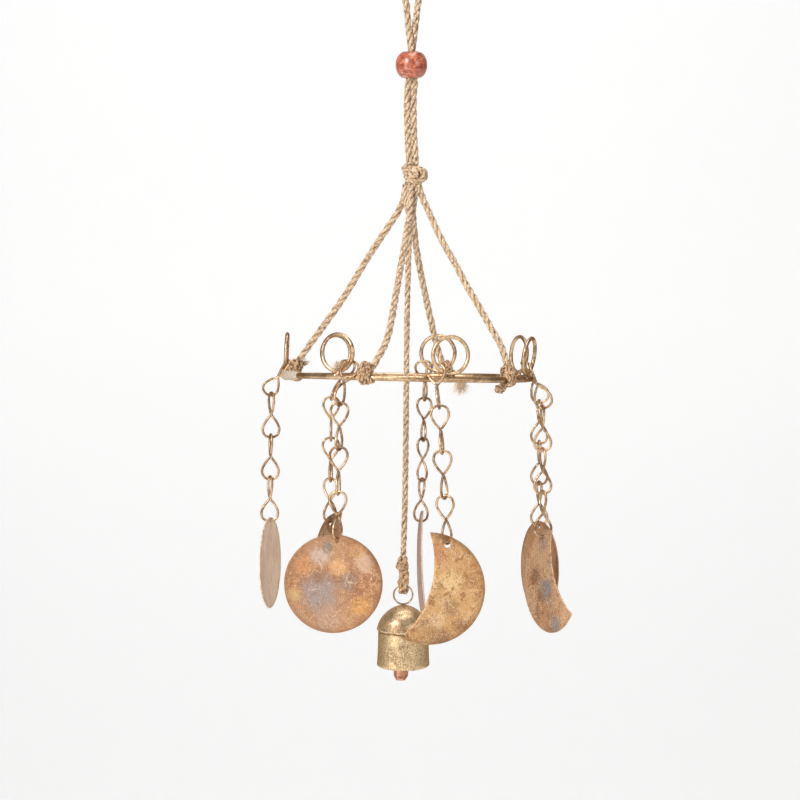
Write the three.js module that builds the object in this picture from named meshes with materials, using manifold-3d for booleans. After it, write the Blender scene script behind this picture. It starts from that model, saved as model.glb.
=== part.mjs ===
// Hanging mobile: a wire hoop on four jute cords, seven chains of links with sheet-metal moons, and a bell.
// Millimetres, +Z up. The origin is the bearing point under the top of the hanging loop.
import * as THREE from 'three';
import * as BufferGeometryUtils from 'three/addons/utils/BufferGeometryUtils.js';
import Module from 'manifold-3d';

const wasm = await Module();
wasm.setup();

// ---- Driving dimensions ------------------------------------------------------------------------------
const GAP = 0.3;                      // clearance between pieces that touch

const CORD_DIAMETER = 3.4;            // jute of the hanging loop and of the four suspension cords
const BELL_CORD_DIAMETER = 3.0;
const CORD_SIDES = 8;

const BEAD_DIAMETER = 19.2;
const BEAD_HEIGHT = 16;
const BEAD_BORE = 7.8;
const BEAD_CENTRE = [-0.35, 0, -64.5];

const TOP_KNOT_CENTRE = [0.6, 0, -129.9];
const TOP_KNOT_RADIUS = 6.4;
const TOP_KNOT_HEIGHT = 12.6;

const HOOP_CENTRE = [-2.4, 0, -251.4];
const HOOP_RADIUS = 73.6;             // to the centre of the wire
const HOOP_WIRE = 3.4;
const HOOP_TILT = -0.0135;            // the right side hangs a little lower
const HOOP_WARP = 0.00015;            // and the hoop is slightly bent by hand

const RING_RADIUS = 10.8;             // hanger rings, to the centre of the wire
const RING_WIRE = 2.3;

const LINK_WIRE = 1.3;
const LINK_GAP = 0.5;
const LINK_HALF = 13.7;               // from a link's waist to the centre of the wire at its tip
const LINK_LOOP_HALF_WIDTH = 5.1;
const LINK_TWIST = 78;                // degrees between the two loops of one link
const LINK_MOUTH = 30;                // degrees left open at each side of the waist

const HOOK_ANGLE = 61;                // degrees from a ring's foot to the first link
const HOOK_CLEARANCE = 2.25;          // between the ring's wire and the first link's wire, centre to centre
const HOOK_BACK = 71;                 // degrees that the first link's tip lies behind the ring's wire
const HOOK_YAW = 17;                  // degrees that the first link is turned from the ring's plane

const SHEET = 0.9;                    // thickness of the moons
const HOLE_RADIUS = 1.75;

const BELL_TILT = 9;                  // degrees, the crown leans to the front
const BELL_CROWN = [-5.3, 0, -388.6];
const BELL_WALL = 1.1;
const BELL_RIM_RADIUS = 15.8;
const BELL_SHOULDER_RADIUS = 15.1;
const BELL_BODY_HEIGHT = 22;
const BELL_NECK_HEIGHT = 3;
const BELL_CAP_RADIUS = 15.6;
const BELL_CAP_HEIGHT = 14.5;
const BELL_CAP_FULLNESS = 1.8;        // 2 would be a true ellipse
const BELL_RING_RADIUS = 5.7;
const BELL_RING_WIRE = 1.0;

// Cord routes, chosen by hand along each cord's centre line.
const LOOP_ROUTE = [
  [-1.5, 0, -123.2], [-2.4, 0, -110], [-2.8, -0.1, -97], [-2.95, -0.2, -85], [-2.15, -0.5, -73.5],
  [-0.4, -1.95, -64.5], [-0.6, -1.8, -55], [-1.7, -1.0, -46], [-2.5, -0.3, -38], [-3.1, 0, -31],
  [-4.0, 0, -25], [-5.6, 0, -17.5],
  [-6.9, 0, -10.5], [-7.0, 0, -4.8], [-4.9, 0, -0.2], [0, 0, 1.7],
  [4.9, 0, -0.2], [7.0, 0, -4.8], [6.9, 0, -10.5], [5.6, 0, -17.5], [4.0, 0, -25], [3.1, 0, -31],
  [2.4, 0.3, -38], [1.5, 1.0, -46], [0.2, 1.8, -55], [-0.3, 1.95, -64.5], [1.45, 0.5, -73.5],
  [0.8, 0.2, -85], [0.95, 0.1, -97], [1.35, 0, -110], [2.3, 0, -123.2],
];
const SUSPENSION_ROUTES = {
  left: [
    [-3.7, 0.7, -136.8], [-4.8, 1.6, -143.5], [-7.4, 3.4, -150.5], [-14.6, 7.0, -161.5],
    [-24.1, 11.6, -175.6],
    [-33.2, 16.2, -190.2], [-42.0, 20.4, -204.4], [-52.6, 25.0, -219.2], [-61.5, 27.9, -231.3],
    [-67.8, 28.8, -240.2],
  ],
  front_left: [
    [-0.9, -3.6, -136.8], [-1.0, -8.4, -146.0], [-1.6, -14.6, -155.5], [-3.2, -21.0, -165.5],
    [-5.4, -29.3, -178.5],
    [-7.9, -38.0, -192.5], [-10.0, -46.0, -205.0], [-12.2, -53.8, -217.5], [-15.4, -62.0, -230.5],
    [-22.2, -67.9, -243.2],
  ],
  back_right: [
    [0.8, 3.8, -136.8], [0.5, 8.6, -145.0], [0.6, 14.5, -154.0], [1.5, 21.6, -165.0], [3.2, 29.0, -176.5],
    [5.8, 37.0, -190.5], [8.8, 45.5, -204.0], [11.8, 53.5, -217.5], [14.9, 62.0, -231.0],
    [18.4, 67.9, -242.3],
  ],
  right: [
    [3.9, -1.3, -136.8], [5.6, -2.6, -142.0], [8.4, -5.0, -149.1], [17.4, -12.0, -169.0],
    [25.2, -18.2, -183.4],
    [32.8, -23.6, -197.8], [40.9, -30.0, -212.0], [47.3, -35.0, -223.5], [52.4, -38.8, -233.0],
    [55.5, -42.3, -242.8],
  ],
};
const BELL_CORD_ROUTE = [
  [0.3, 0.1, -136.8], [-0.4, 0, -146], [-1.2, 0, -157], [-1.9, 0, -172], [-2.4, 0, -190], [-2.9, 0, -210],
  [-3.2, 0, -232], [-3.4, 0, -255], [-3.6, 0, -278], [-3.9, 0, -303], [-4.3, 0, -330], [-5.0, 0, -350],
  [-5.4, 0, -361],
];

// Knots on the hoop: where they sit on it in degrees, and their half sizes along it, across it and upwards.
const HOOP_KNOTS = [
  { name: 'hoop_knot_left', angle: 157, size: [4.9, 4.6, 6.4], lift: 4.4 },
  { name: 'hoop_knot_front_left', angle: 250.6, size: [4.9, 4.7, 6.4], lift: 3.1 },
  { name: 'hoop_knot_back_right', angle: 70.8, size: [4.9, 4.7, 6.4], lift: 3.4 },
  { name: 'hoop_knot_right', angle: 323, size: [5.6, 4.9, 6.6], lift: 2.9 },
];

// The seven rings, each with its chain and moon. Angles are in degrees, lengths in millimetres.
//   angle: place on the hoop; side: which side of its ring the chain hooks on, 1 clockwise, -1 anticlockwise
//   ringLean: how far the ring leans outwards; lean, sway: how far the first link leans outwards and sideways
//   first, size: scale of the first link and of the others; turns: heading of the upper loop of links 2 to 4
//   drift: how far each of those links strays sideways; moon: its outline, heading and turn in its own plane
const STRINGS = [
  {
    angle: 180, side: -1, ringLean: -3, lean: 31, sway: 0, first: 0.88, size: 0.98,
    turns: [-70, -80, -74], drift: [-0.4, 0],
    moon: { kind: 'disc', radius: 27.2, edge: 3.0, heading: 79, roll: 1 },
  },
  {
    angle: 127, side: 1, ringLean: 0, lean: 32, sway: 8, first: 1.03, size: 0.99,
    turns: [14, 4, -36], drift: [-0.3, 0],
    moon: {
      kind: 'crescent', radius: 32.5, tips: [94, -128], sag: 9, hole: [12.4, 25.2], heading: 120, roll: 0,
    },
  },
  {
    angle: 236, side: -1, ringLean: 0, lean: 32, sway: 0, first: 1.06, size: 1.005,
    turns: [-8, 2, -16], drift: [-0.5, 0.2],
    moon: { kind: 'disc', radius: 28.6, edge: 3.1, heading: 1, roll: 5 },
  },
  {
    angle: 75.2, side: -1, ringLean: 0, lean: 32, sway: -6, first: 1.03, size: 0.985,
    turns: [27, 47, 70], drift: [-0.8, 0],
    moon: {
      kind: 'crescent', radius: 32.5, tips: [91, -122], sag: 9, hole: [10.6, 24.6], heading: 95.5, roll: 0,
    },
  },
  {
    angle: 289.5, side: 1, ringLean: 0, lean: 32, sway: -8, first: 1.07, size: 1.015,
    turns: [2, -8, -20], drift: [1.5, 0.2],
    moon: {
      kind: 'crescent', radius: 32.5, tips: [89, -119], sag: 9.1, hole: [10.6, 25.2], heading: 0, roll: 0,
    },
  },
  {
    angle: 24.5, side: 1, ringLean: 3, lean: 34, sway: -3, first: 1.02, size: 0.97,
    turns: [-78, -84, -76], drift: [0, 0],
    moon: { kind: 'disc', radius: 28.5, edge: 3.2, heading: 111, roll: 0 },
  },
  {
    angle: 341, side: -1, ringLean: 9, lean: 32, sway: 0, first: 1.03, size: 0.995,
    turns: [-82, -74, -70], drift: [0.1, 0],
    moon: {
      kind: 'crescent', radius: 30.5, tips: [94.6, -144.9], sag: 8.5, hole: [8, 25.6], heading: 118, roll: 0,
    },
  },
];

// ---- Materials ---------------------------------------------------------------------------------------
const finish = (color, roughness, metalness) => (
  new THREE.MeshStandardMaterial({ color, roughness, metalness })
);
const jute = () => finish(0xc2a478, 0.95, 0);
const beadWood = () => finish(0x8a3a22, 0.35, 0);
const brassWire = () => finish(0xb08a55, 0.4, 0.9);
const copperSheet = () => finish(0xb37d52, 0.55, 0.7);
const brassSheet = () => finish(0xb88a4a, 0.5, 0.7);
const bellBrass = () => finish(0xb59a62, 0.45, 0.8);
const clapperCopper = () => finish(0xb06a45, 0.5, 0.6);

// ---- Helpers -----------------------------------------------------------------------------------------
const radians = THREE.MathUtils.degToRad;
const vector = (point) => new THREE.Vector3(...point);

const model = new THREE.Group();

function addMesh(parent, name, geometry, material) {
  const mesh = new THREE.Mesh(geometry, material);
  mesh.name = name;
  parent.add(mesh);
  return mesh;
}

// A round section with flat sides, for everything that is swept along a curve.
function roundSection(radius, sides) {
  const corners = [];
  for (let i = 0; i < sides; i += 1) {
    const a = (2 * Math.PI * i) / sides;
    corners.push(new THREE.Vector2(radius * Math.cos(a), radius * Math.sin(a)));
  }
  return new THREE.Shape(corners);
}

function sweep(points, diameter, sides, steps) {
  const path = new THREE.CatmullRomCurve3(points, false, 'centripetal');
  return new THREE.ExtrudeGeometry(roundSection(diameter / 2, sides), {
    steps,
    extrudePath: path,
    bevelEnabled: false,
  });
}

// Closed meshes as manifold-3d solids and back, for the knots that close round a wire.
function toSolid(geometry) {
  const bare = geometry.clone();
  bare.deleteAttribute('normal');
  bare.deleteAttribute('uv');
  const merged = BufferGeometryUtils.mergeVertices(bare, 1e-4);
  return new wasm.Manifold(new wasm.Mesh({
    numProp: 3,
    vertProperties: new Float32Array(merged.attributes.position.array),
    triVerts: new Uint32Array(merged.index.array),
  }));
}

function fromSolid(solid) {
  const mesh = solid.getMesh();
  const geometry = new THREE.BufferGeometry();
  geometry.setAttribute('position', new THREE.BufferAttribute(new Float32Array(mesh.vertProperties), 3));
  geometry.setIndex(new THREE.BufferAttribute(new Uint32Array(mesh.triVerts), 1));
  geometry.computeVertexNormals();
  return geometry;
}

// ---- Hoop --------------------------------------------------------------------------------------------
// Height of the bent hoop's wire above its level plane, at a place measured from the hoop's centre.
const hoopRise = (x, y) => HOOP_TILT * x + HOOP_WARP * x * y;

function hoopPoint(angle) {
  const x = HOOP_RADIUS * Math.cos(radians(angle));
  const y = HOOP_RADIUS * Math.sin(radians(angle));
  return new THREE.Vector3(x, y, hoopRise(x, y)).add(vector(HOOP_CENTRE));
}

function hoopGeometry(wireRadius, sides, segments) {
  const geometry = new THREE.TorusGeometry(HOOP_RADIUS, wireRadius, sides, segments);
  const position = geometry.attributes.position;
  for (let i = 0; i < position.count; i += 1) {
    const rise = hoopRise(position.getX(i), position.getY(i));
    position.setZ(i, position.getZ(i) + rise);
  }
  geometry.computeVertexNormals();
  return geometry;
}

addMesh(model, 'hoop', hoopGeometry(HOOP_WIRE / 2, 8, 36), brassWire()).position.set(...HOOP_CENTRE);

// ---- Hanger rings ------------------------------------------------------------------------------------
// A stand is a frame on top of the hoop: x along the hoop, y outwards, z up, leaning with its ring.
function ringStand(string) {
  const stand = new THREE.Group();
  stand.position.copy(hoopPoint(string.angle));
  stand.rotation.set(-radians(string.ringLean), 0, radians(string.angle - 90), 'ZXY');
  stand.updateMatrixWorld(true);
  return stand;
}

const RING_LIFT = HOOP_WIRE / 2 + GAP + RING_WIRE / 2 + RING_RADIUS;

function ringGeometry(wire, sides, segments) {
  const geometry = new THREE.TorusGeometry(RING_RADIUS, wire / 2, sides, segments);
  geometry.rotateX(Math.PI / 2);
  geometry.rotateY(Math.PI / segments);
  geometry.translate(0, 0, RING_LIFT);
  return geometry;
}

// ---- Chain links -------------------------------------------------------------------------------------
// One wire bent to a figure of eight: a drop-shaped loop above the waist, another below, turned on its axis.
// The wire's two ends stop short of the waist.
function linkPoints(size) {
  const steps = 8;
  const half = LINK_HALF * size;
  const fullness = (LINK_LOOP_HALF_WIDTH * size) / 0.77;
  const loop = [];
  for (let i = 0; i <= steps; i += 1) {
    const a = radians(LINK_MOUTH) + ((2 * Math.PI - 2 * radians(LINK_MOUTH)) * i) / steps;
    loop.push([fullness * Math.sin(a) * Math.sin(a / 2), (half * (1 - Math.cos(a))) / 2]);
  }
  const upper = loop.map(([across, along]) => new THREE.Vector3(across, 0, along));
  const turn = radians(LINK_TWIST);
  const lower = loop.map(([across, along]) => (
    new THREE.Vector3(across * Math.cos(turn), across * Math.sin(turn), -along)
  ));
  return [...upper, ...lower];
}

const linkGeometry = (size) => sweep(linkPoints(size), LINK_WIRE, 5, 16);

// The first link leans on the outside of the hoop with its upper loop round the ring's wire.
function firstLinkPose(string) {
  const hook = radians(HOOK_ANGLE);
  const back = radians(HOOK_BACK);
  const onRing = new THREE.Vector3(Math.sin(hook), 0, -Math.cos(hook)).multiplyScalar(RING_RADIUS);
  const inwards = new THREE.Vector3(-Math.sin(hook), 0, Math.cos(hook)).multiplyScalar(Math.cos(back));
  const behind = new THREE.Vector3(0, -Math.sin(back), 0);
  const tip = onRing.add(inwards.add(behind).multiplyScalar(HOOK_CLEARANCE));
  tip.z += RING_LIFT;
  tip.x *= string.side;
  const pose = new THREE.Object3D();
  const turned = new THREE.Quaternion().setFromEuler(
    new THREE.Euler(radians(string.lean), 0, -string.side * radians(HOOK_YAW), 'XYZ'),
  );
  const swayed = new THREE.Quaternion().setFromEuler(new THREE.Euler(0, string.side * radians(string.sway), 0));
  pose.quaternion.copy(swayed.multiply(turned));
  const reach = new THREE.Vector3(0, 0, LINK_HALF * string.first).applyQuaternion(pose.quaternion);
  pose.position.copy(tip).sub(reach);
  return pose;
}

function addString(string, index) {
  const number = index + 1;
  const stand = ringStand(string);
  model.add(stand);
  addMesh(stand, `hanger_ring_${number}`, ringGeometry(RING_WIRE, 5, 16), brassWire());

  const first = addMesh(stand, `chain_${number}_link_1`, linkGeometry(string.first), brassWire());
  const pose = firstLinkPose(string);
  first.position.copy(pose.position);
  first.quaternion.copy(pose.quaternion);
  first.updateMatrixWorld(true);

  // The next link hangs at the lowest point of the wire above it.
  const wire = new THREE.CatmullRomCurve3(linkPoints(string.first), false, 'centripetal').getPoints(160);
  let low = new THREE.Vector3(0, 0, Infinity);
  for (const point of wire) {
    point.applyMatrix4(first.matrixWorld);
    if (point.z < low.z) low = point;
  }
  const length = 2 * LINK_HALF * string.size;
  string.turns.forEach((turn, i) => {
    const link = addMesh(model, `chain_${number}_link_${i + 2}`, linkGeometry(string.size), brassWire());
    const top = low.clone().add(new THREE.Vector3(0, 0, LINK_WIRE + LINK_GAP));
    const bottom = top.clone().add(new THREE.Vector3(string.drift[0], string.drift[1], -length));
    link.position.copy(top).add(bottom).multiplyScalar(0.5);
    const axis = top.clone().sub(bottom).normalize();
    link.quaternion.setFromUnitVectors(new THREE.Vector3(0, 0, 1), axis);
    link.rotateZ(radians(turn));
    low = bottom;
  });
  addMoon(string.moon, number, low);
}

// ---- Moons -------------------------------------------------------------------------------------------
// A sheet-metal disc or crescent with a hole near its upper edge. The hole is the piece's own origin.
function sheetGeometry(shape) {
  const hole = new THREE.EllipseCurve(0, 0, HOLE_RADIUS, HOLE_RADIUS, 0, 2 * Math.PI, true);
  shape.holes.push(new THREE.Path(hole.getPoints(8).slice(0, -1)));
  const flat = new THREE.ExtrudeGeometry(shape, { depth: SHEET, bevelEnabled: false });
  flat.translate(0, 0, -SHEET / 2);
  flat.rotateX(Math.PI / 2);
  return flat;
}

function discShape({ radius, edge }) {
  const rim = new THREE.EllipseCurve(0, -(radius - edge), radius, radius, 0, 2 * Math.PI, false);
  return new THREE.Shape(rim.getPoints(26).slice(0, -1));
}

// The outer arc runs clockwise from tip to tip, and the hollow edge is a flatter arc between the same tips.
function crescentShape({ radius, tips, sag, hole }) {
  const centre = new THREE.Vector2(-hole[0], -hole[1]);
  const [from, to] = tips.map(radians);
  const tip = (a) => new THREE.Vector2(radius * Math.cos(a), radius * Math.sin(a)).add(centre);
  const upper = tip(from);
  const lower = tip(to);
  const halfChord = upper.distanceTo(lower) / 2;
  const hollowRadius = (halfChord * halfChord + sag * sag) / (2 * sag);
  const along = upper.clone().sub(lower).normalize();
  const away = new THREE.Vector2(-along.y, along.x).multiplyScalar(hollowRadius - sag);
  const hollowCentre = upper.clone().add(lower).multiplyScalar(0.5).add(away);
  const bearing = (point) => Math.atan2(point.y - hollowCentre.y, point.x - hollowCentre.x);
  const outer = new THREE.EllipseCurve(centre.x, centre.y, radius, radius, from, to, true);
  const hollow = new THREE.EllipseCurve(
    hollowCentre.x, hollowCentre.y, hollowRadius, hollowRadius, bearing(lower), bearing(upper), false,
  );
  const outline = [...outer.getPoints(18).slice(0, -1), ...hollow.getPoints(8).slice(0, -1)];
  return new THREE.Shape(outline.reverse());
}

function addMoon(moon, number, low) {
  const shape = moon.kind === 'disc' ? discShape(moon) : crescentShape(moon);
  const sheet = number === 5 ? brassSheet() : copperSheet();
  const mesh = addMesh(model, `moon_${number}_${moon.kind}`, sheetGeometry(shape), sheet);
  mesh.position.copy(low);
  mesh.position.z -= HOLE_RADIUS - LINK_WIRE / 2 - LINK_GAP;
  mesh.rotation.set(0, radians(moon.roll), radians(moon.heading), 'ZXY');
}

STRINGS.forEach(addString);

// ---- Cords, bead and knots ---------------------------------------------------------------------------
function addCord(name, route, diameter, steps) {
  addMesh(model, name, sweep(route.map(vector), diameter, CORD_SIDES, steps), jute());
}

addCord('hanging_loop', LOOP_ROUTE, CORD_DIAMETER, 30);
for (const [place, route] of Object.entries(SUSPENSION_ROUTES)) {
  addCord(`suspension_cord_${place}`, route, CORD_DIAMETER, 12);
}
addCord('bell_cord', BELL_CORD_ROUTE, BELL_CORD_DIAMETER, 14);

// The bead is a flattened ball, bored for two strands of cord.
function beadGeometry() {
  const rows = 6;
  const bore = BEAD_BORE / 2;
  const profile = [];
  for (let i = 0; i <= rows; i += 1) {
    const a = -Math.PI / 2 + (Math.PI * i) / rows;
    const width = bore + (BEAD_DIAMETER / 2 - bore) * Math.cos(a);
    profile.push(new THREE.Vector2(width, (BEAD_HEIGHT / 2) * Math.sin(a)));
  }
  profile.push(profile[0].clone());
  const geometry = new THREE.LatheGeometry(profile, 14);
  geometry.rotateX(Math.PI / 2);
  return geometry;
}

addMesh(model, 'bead', beadGeometry(), beadWood()).position.set(...BEAD_CENTRE);

// The top knot is a rounded lump with a waist between its two turns.
function topKnotGeometry() {
  const rows = 6;
  const profile = [new THREE.Vector2(0, -TOP_KNOT_HEIGHT / 2)];
  for (let i = 0; i <= rows; i += 1) {
    const t = -1 + (2 * i) / rows;
    const turns = 0.86 + 0.14 * Math.cos(2 * Math.PI * t);
    const closing = Math.sqrt(1 - (0.94 * t) ** 4);
    profile.push(new THREE.Vector2(TOP_KNOT_RADIUS * turns * closing + 1.2, (TOP_KNOT_HEIGHT / 2) * t));
  }
  profile.push(new THREE.Vector2(0, TOP_KNOT_HEIGHT / 2));
  const geometry = new THREE.LatheGeometry(profile, 10);
  geometry.rotateX(Math.PI / 2);
  return geometry;
}

addMesh(model, 'top_knot', topKnotGeometry(), jute()).position.set(...TOP_KNOT_CENTRE);

// A knot on the hoop is a lump with the hoop's wire, and any ring standing in it, running through it.
const hoopBore = () => {
  const bore = hoopGeometry(HOOP_WIRE / 2 + GAP, 8, 36);
  bore.translate(...HOOP_CENTRE);
  return toSolid(bore);
};

function ringBore(string) {
  const stand = ringStand(string);
  const bore = ringGeometry(RING_WIRE + 2 * GAP + 0.2, 5, 16);
  bore.applyMatrix4(stand.matrixWorld);
  return toSolid(bore);
}

function lumpGeometry([along, across, up], columns, rows) {
  const lump = new THREE.SphereGeometry(1, columns, rows);
  lump.rotateX(Math.PI / 2);
  lump.scale(along, across, up);
  return lump;
}

for (const knot of HOOP_KNOTS) {
  const lump = lumpGeometry(knot.size, 8, 6);
  lump.rotateZ(radians(knot.angle - 90));
  const seat = hoopPoint(knot.angle);
  lump.translate(seat.x, seat.y, seat.z + knot.lift);
  let solid = toSolid(lump).subtract(hoopBore());
  for (const string of STRINGS) {
    if (Math.abs(string.angle - knot.angle) < 12) solid = solid.subtract(ringBore(string));
  }
  addMesh(model, knot.name, fromSolid(solid), jute());
}

// ---- Bell --------------------------------------------------------------------------------------------
const bell = new THREE.Group();
bell.position.set(...BELL_CROWN);
bell.rotation.set(radians(BELL_TILT), 0, 0);
model.add(bell);

const RIM_Z = -(BELL_BODY_HEIGHT + BELL_CAP_HEIGHT);

function lathe(points, segments) {
  const geometry = new THREE.LatheGeometry(points.map(([r, z]) => new THREE.Vector2(r, z)), segments);
  geometry.rotateX(Math.PI / 2);
  return geometry;
}

// The body is an open tube with a narrower neck that goes up inside the cap.
function bellBodyGeometry() {
  const seam = RIM_Z + BELL_BODY_HEIGHT;
  const neck = BELL_CAP_RADIUS - BELL_WALL - GAP - 0.5;
  return lathe([
    [BELL_RIM_RADIUS - BELL_WALL, RIM_Z],
    [BELL_RIM_RADIUS, RIM_Z],
    [BELL_SHOULDER_RADIUS, seam - GAP],
    [neck, seam - GAP],
    [neck, seam + BELL_NECK_HEIGHT],
    [neck - BELL_WALL, seam + BELL_NECK_HEIGHT],
    [BELL_SHOULDER_RADIUS - BELL_WALL - 0.7, seam - 2],
    [BELL_RIM_RADIUS - BELL_WALL, RIM_Z],
  ], 16);
}

// The cap is a dome of sheet, a little proud of the body along the seam.
function bellCapGeometry() {
  const rows = 5;
  const dome = (radius, height) => {
    const rise = [];
    for (let i = 0; i <= rows; i += 1) {
      const z = Math.sin((Math.PI / 2) * (i / rows));
      const across = (1 - z ** BELL_CAP_FULLNESS) ** (1 / BELL_CAP_FULLNESS);
      rise.push([radius * across, height * z - BELL_CAP_HEIGHT]);
    }
    return rise;
  };
  const outside = dome(BELL_CAP_RADIUS, BELL_CAP_HEIGHT);
  const inside = dome(BELL_CAP_RADIUS - BELL_WALL, BELL_CAP_HEIGHT - BELL_WALL).reverse();
  return lathe([...inside, ...outside], 16);
}

// The clapper is a faceted bob on a short wire that ends under the crown.
function clapperGeometry() {
  return lathe([
    [0, -45.2], [2.7, -45.2], [4.5, -42.4], [4.7, -37.6], [3.2, -34.6], [0.7, -33.8], [0.7, -2.2],
    [0, -2.2],
  ], 7);
}

addMesh(bell, 'bell_body', bellBodyGeometry(), bellBrass());
addMesh(bell, 'bell_cap', bellCapGeometry(), bellBrass());

const clapper = addMesh(model, 'clapper', clapperGeometry(), clapperCopper());
clapper.position.set(...BELL_CROWN);
clapper.rotation.set(radians(1.5), radians(2), 0);

const bellRing = new THREE.TorusGeometry(BELL_RING_RADIUS, BELL_RING_WIRE / 2, 5, 14);
bellRing.rotateX(Math.PI / 2);
const bellRingRise = BELL_RING_RADIUS + BELL_RING_WIRE / 2 + GAP;
const bellRingCentre = vector(BELL_CROWN).add(new THREE.Vector3(0, 0, bellRingRise));
addMesh(model, 'bell_ring', bellRing, brassWire()).position.copy(bellRingCentre);

// The bell cord's knot closes round the top of the bell's ring.
function bellKnotGeometry() {
  const lump = lumpGeometry([3.9, 3.7, 9.8], 8, 8);
  lump.translate(-5.7, 0, -371.3);
  const bore = new THREE.TorusGeometry(BELL_RING_RADIUS, BELL_RING_WIRE / 2 + GAP, 5, 14);
  bore.rotateX(Math.PI / 2);
  bore.translate(...bellRingCentre.toArray());
  return fromSolid(toSolid(lump).subtract(toSolid(bore)));
}

addMesh(model, 'bell_cord_knot', bellKnotGeometry(), jute());

export default model;
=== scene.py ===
import math
import random

import bmesh
import bpy
from bpy.props import FloatProperty, FloatVectorProperty, IntProperty, PointerProperty
from mathutils import Euler, Matrix, Vector, noise


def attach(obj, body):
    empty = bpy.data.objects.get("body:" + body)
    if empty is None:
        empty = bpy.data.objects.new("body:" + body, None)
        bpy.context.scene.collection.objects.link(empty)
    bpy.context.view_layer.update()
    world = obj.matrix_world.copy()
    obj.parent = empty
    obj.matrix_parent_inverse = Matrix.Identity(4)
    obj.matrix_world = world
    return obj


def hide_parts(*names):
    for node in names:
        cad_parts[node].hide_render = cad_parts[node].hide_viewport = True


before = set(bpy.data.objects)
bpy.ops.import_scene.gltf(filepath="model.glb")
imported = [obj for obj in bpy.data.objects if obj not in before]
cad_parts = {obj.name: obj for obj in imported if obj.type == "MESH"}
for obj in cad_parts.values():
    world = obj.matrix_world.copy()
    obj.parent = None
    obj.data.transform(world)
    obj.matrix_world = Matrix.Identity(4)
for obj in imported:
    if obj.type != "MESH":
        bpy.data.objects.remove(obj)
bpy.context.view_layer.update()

bl_info = {
    "name": "Hanging Moon Mobile",
    "version": (1, 0, 0),
    "blender": (4, 5, 0),
    "location": "View3D > Sidebar > Mobile",
    "description": "Jute, wire chains, sheet-metal moons and a bell for a hanging mobile",
    "category": "Object",
}

MM = 0.001

# ---- Places and sizes in millimetres, the same as the solids' ------------------------------------------------
CORD_DIAMETER = 3.4
BELL_CORD_DIAMETER = 3.0
BEAD_CENTRE = (-0.35, 0, -64.5)
BEAD_DIAMETER = 19.2
BEAD_HEIGHT = 16.0
BEAD_BORE = 7.8
TOP_KNOT_CENTRE = (0.6, 0, -129.9)
HOOP_CENTRE = (-2.4, 0, -251.4)
HOOP_RADIUS = 73.6
HOOP_WIRE = 3.4
HOOP_TILT = -0.0135
HOOP_WARP = 0.00015
RING_RADIUS = 10.8
RING_WIRE = 2.3
GAP = 0.3
LINK_WIRE = 1.3
LINK_GAP = 0.5
LINK_HALF = 13.7
LINK_LOOP_HALF_WIDTH = 5.1
LINK_TWIST = 78
LINK_MOUTH = 30
HOOK_ANGLE = 61
HOOK_CLEARANCE = 2.25
HOOK_BACK = 71
HOOK_YAW = 17
SHEET = 0.9
HOLE_RADIUS = 1.75
BELL_TILT = 9
BELL_CROWN = (-5.3, 0, -388.6)
BELL_WALL = 1.1
BELL_RIM_RADIUS = 15.8
BELL_SHOULDER_RADIUS = 15.1
BELL_BODY_HEIGHT = 22.0
BELL_CAP_RADIUS = 15.6
BELL_CAP_HEIGHT = 14.5
BELL_RING_RADIUS = 5.7
BELL_RING_WIRE = 1.0

LOOP_ROUTE = [
    (-1.5, 0, -123.2), (-2.4, 0, -110), (-2.8, -0.1, -97), (-2.95, -0.2, -85), (-2.15, -0.5, -73.5),
    (-0.4, -1.95, -64.5), (-0.6, -1.8, -55), (-1.7, -1.0, -46), (-2.5, -0.3, -38), (-3.1, 0, -31), (-4.0, 0, -25), (-5.6, 0, -17.5),
    (-6.9, 0, -10.5), (-7.0, 0, -4.8), (-4.9, 0, -0.2), (0, 0, 1.7),
    (4.9, 0, -0.2), (7.0, 0, -4.8), (6.9, 0, -10.5), (5.6, 0, -17.5), (4.0, 0, -25), (3.1, 0, -31),
    (2.4, 0.3, -38), (1.5, 1.0, -46), (0.2, 1.8, -55), (-0.3, 1.95, -64.5), (1.45, 0.5, -73.5),
    (0.8, 0.2, -85), (0.95, 0.1, -97), (1.35, 0, -110), (2.3, 0, -123.2),
]
SUSPENSION_ROUTES = {
    "left": [
        (-3.7, 0.7, -136.8), (-4.8, 1.6, -143.5), (-7.4, 3.4, -150.5), (-14.6, 7.0, -161.5), (-24.1, 11.6, -175.6),
        (-33.2, 16.2, -190.2), (-42.0, 20.4, -204.4), (-52.6, 25.0, -219.2), (-61.5, 27.9, -231.3), (-67.8, 28.8, -240.2),
    ],
    "front_left": [
        (-0.9, -3.6, -136.8), (-1.0, -8.4, -146.0), (-1.6, -14.6, -155.5), (-3.2, -21.0, -165.5), (-5.4, -29.3, -178.5),
        (-7.9, -38.0, -192.5), (-10.0, -46.0, -205.0), (-12.2, -53.8, -217.5), (-15.4, -62.0, -230.5), (-22.2, -67.9, -243.2),
    ],
    "back_right": [
        (0.8, 3.8, -136.8), (0.5, 8.6, -145.0), (0.6, 14.5, -154.0), (1.5, 21.6, -165.0), (3.2, 29.0, -176.5),
        (5.8, 37.0, -190.5), (8.8, 45.5, -204.0), (11.8, 53.5, -217.5), (14.9, 62.0, -231.0), (18.4, 67.9, -242.3),
    ],
    "right": [
        (3.9, -1.3, -136.8), (5.6, -2.6, -142.0), (8.4, -5.0, -149.1), (17.4, -12.0, -169.0), (25.2, -18.2, -183.4),
        (32.8, -23.6, -197.8), (40.9, -30.0, -212.0), (47.3, -35.0, -223.5), (52.4, -38.8, -233.0), (55.5, -42.3, -242.8),
    ],
}
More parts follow.
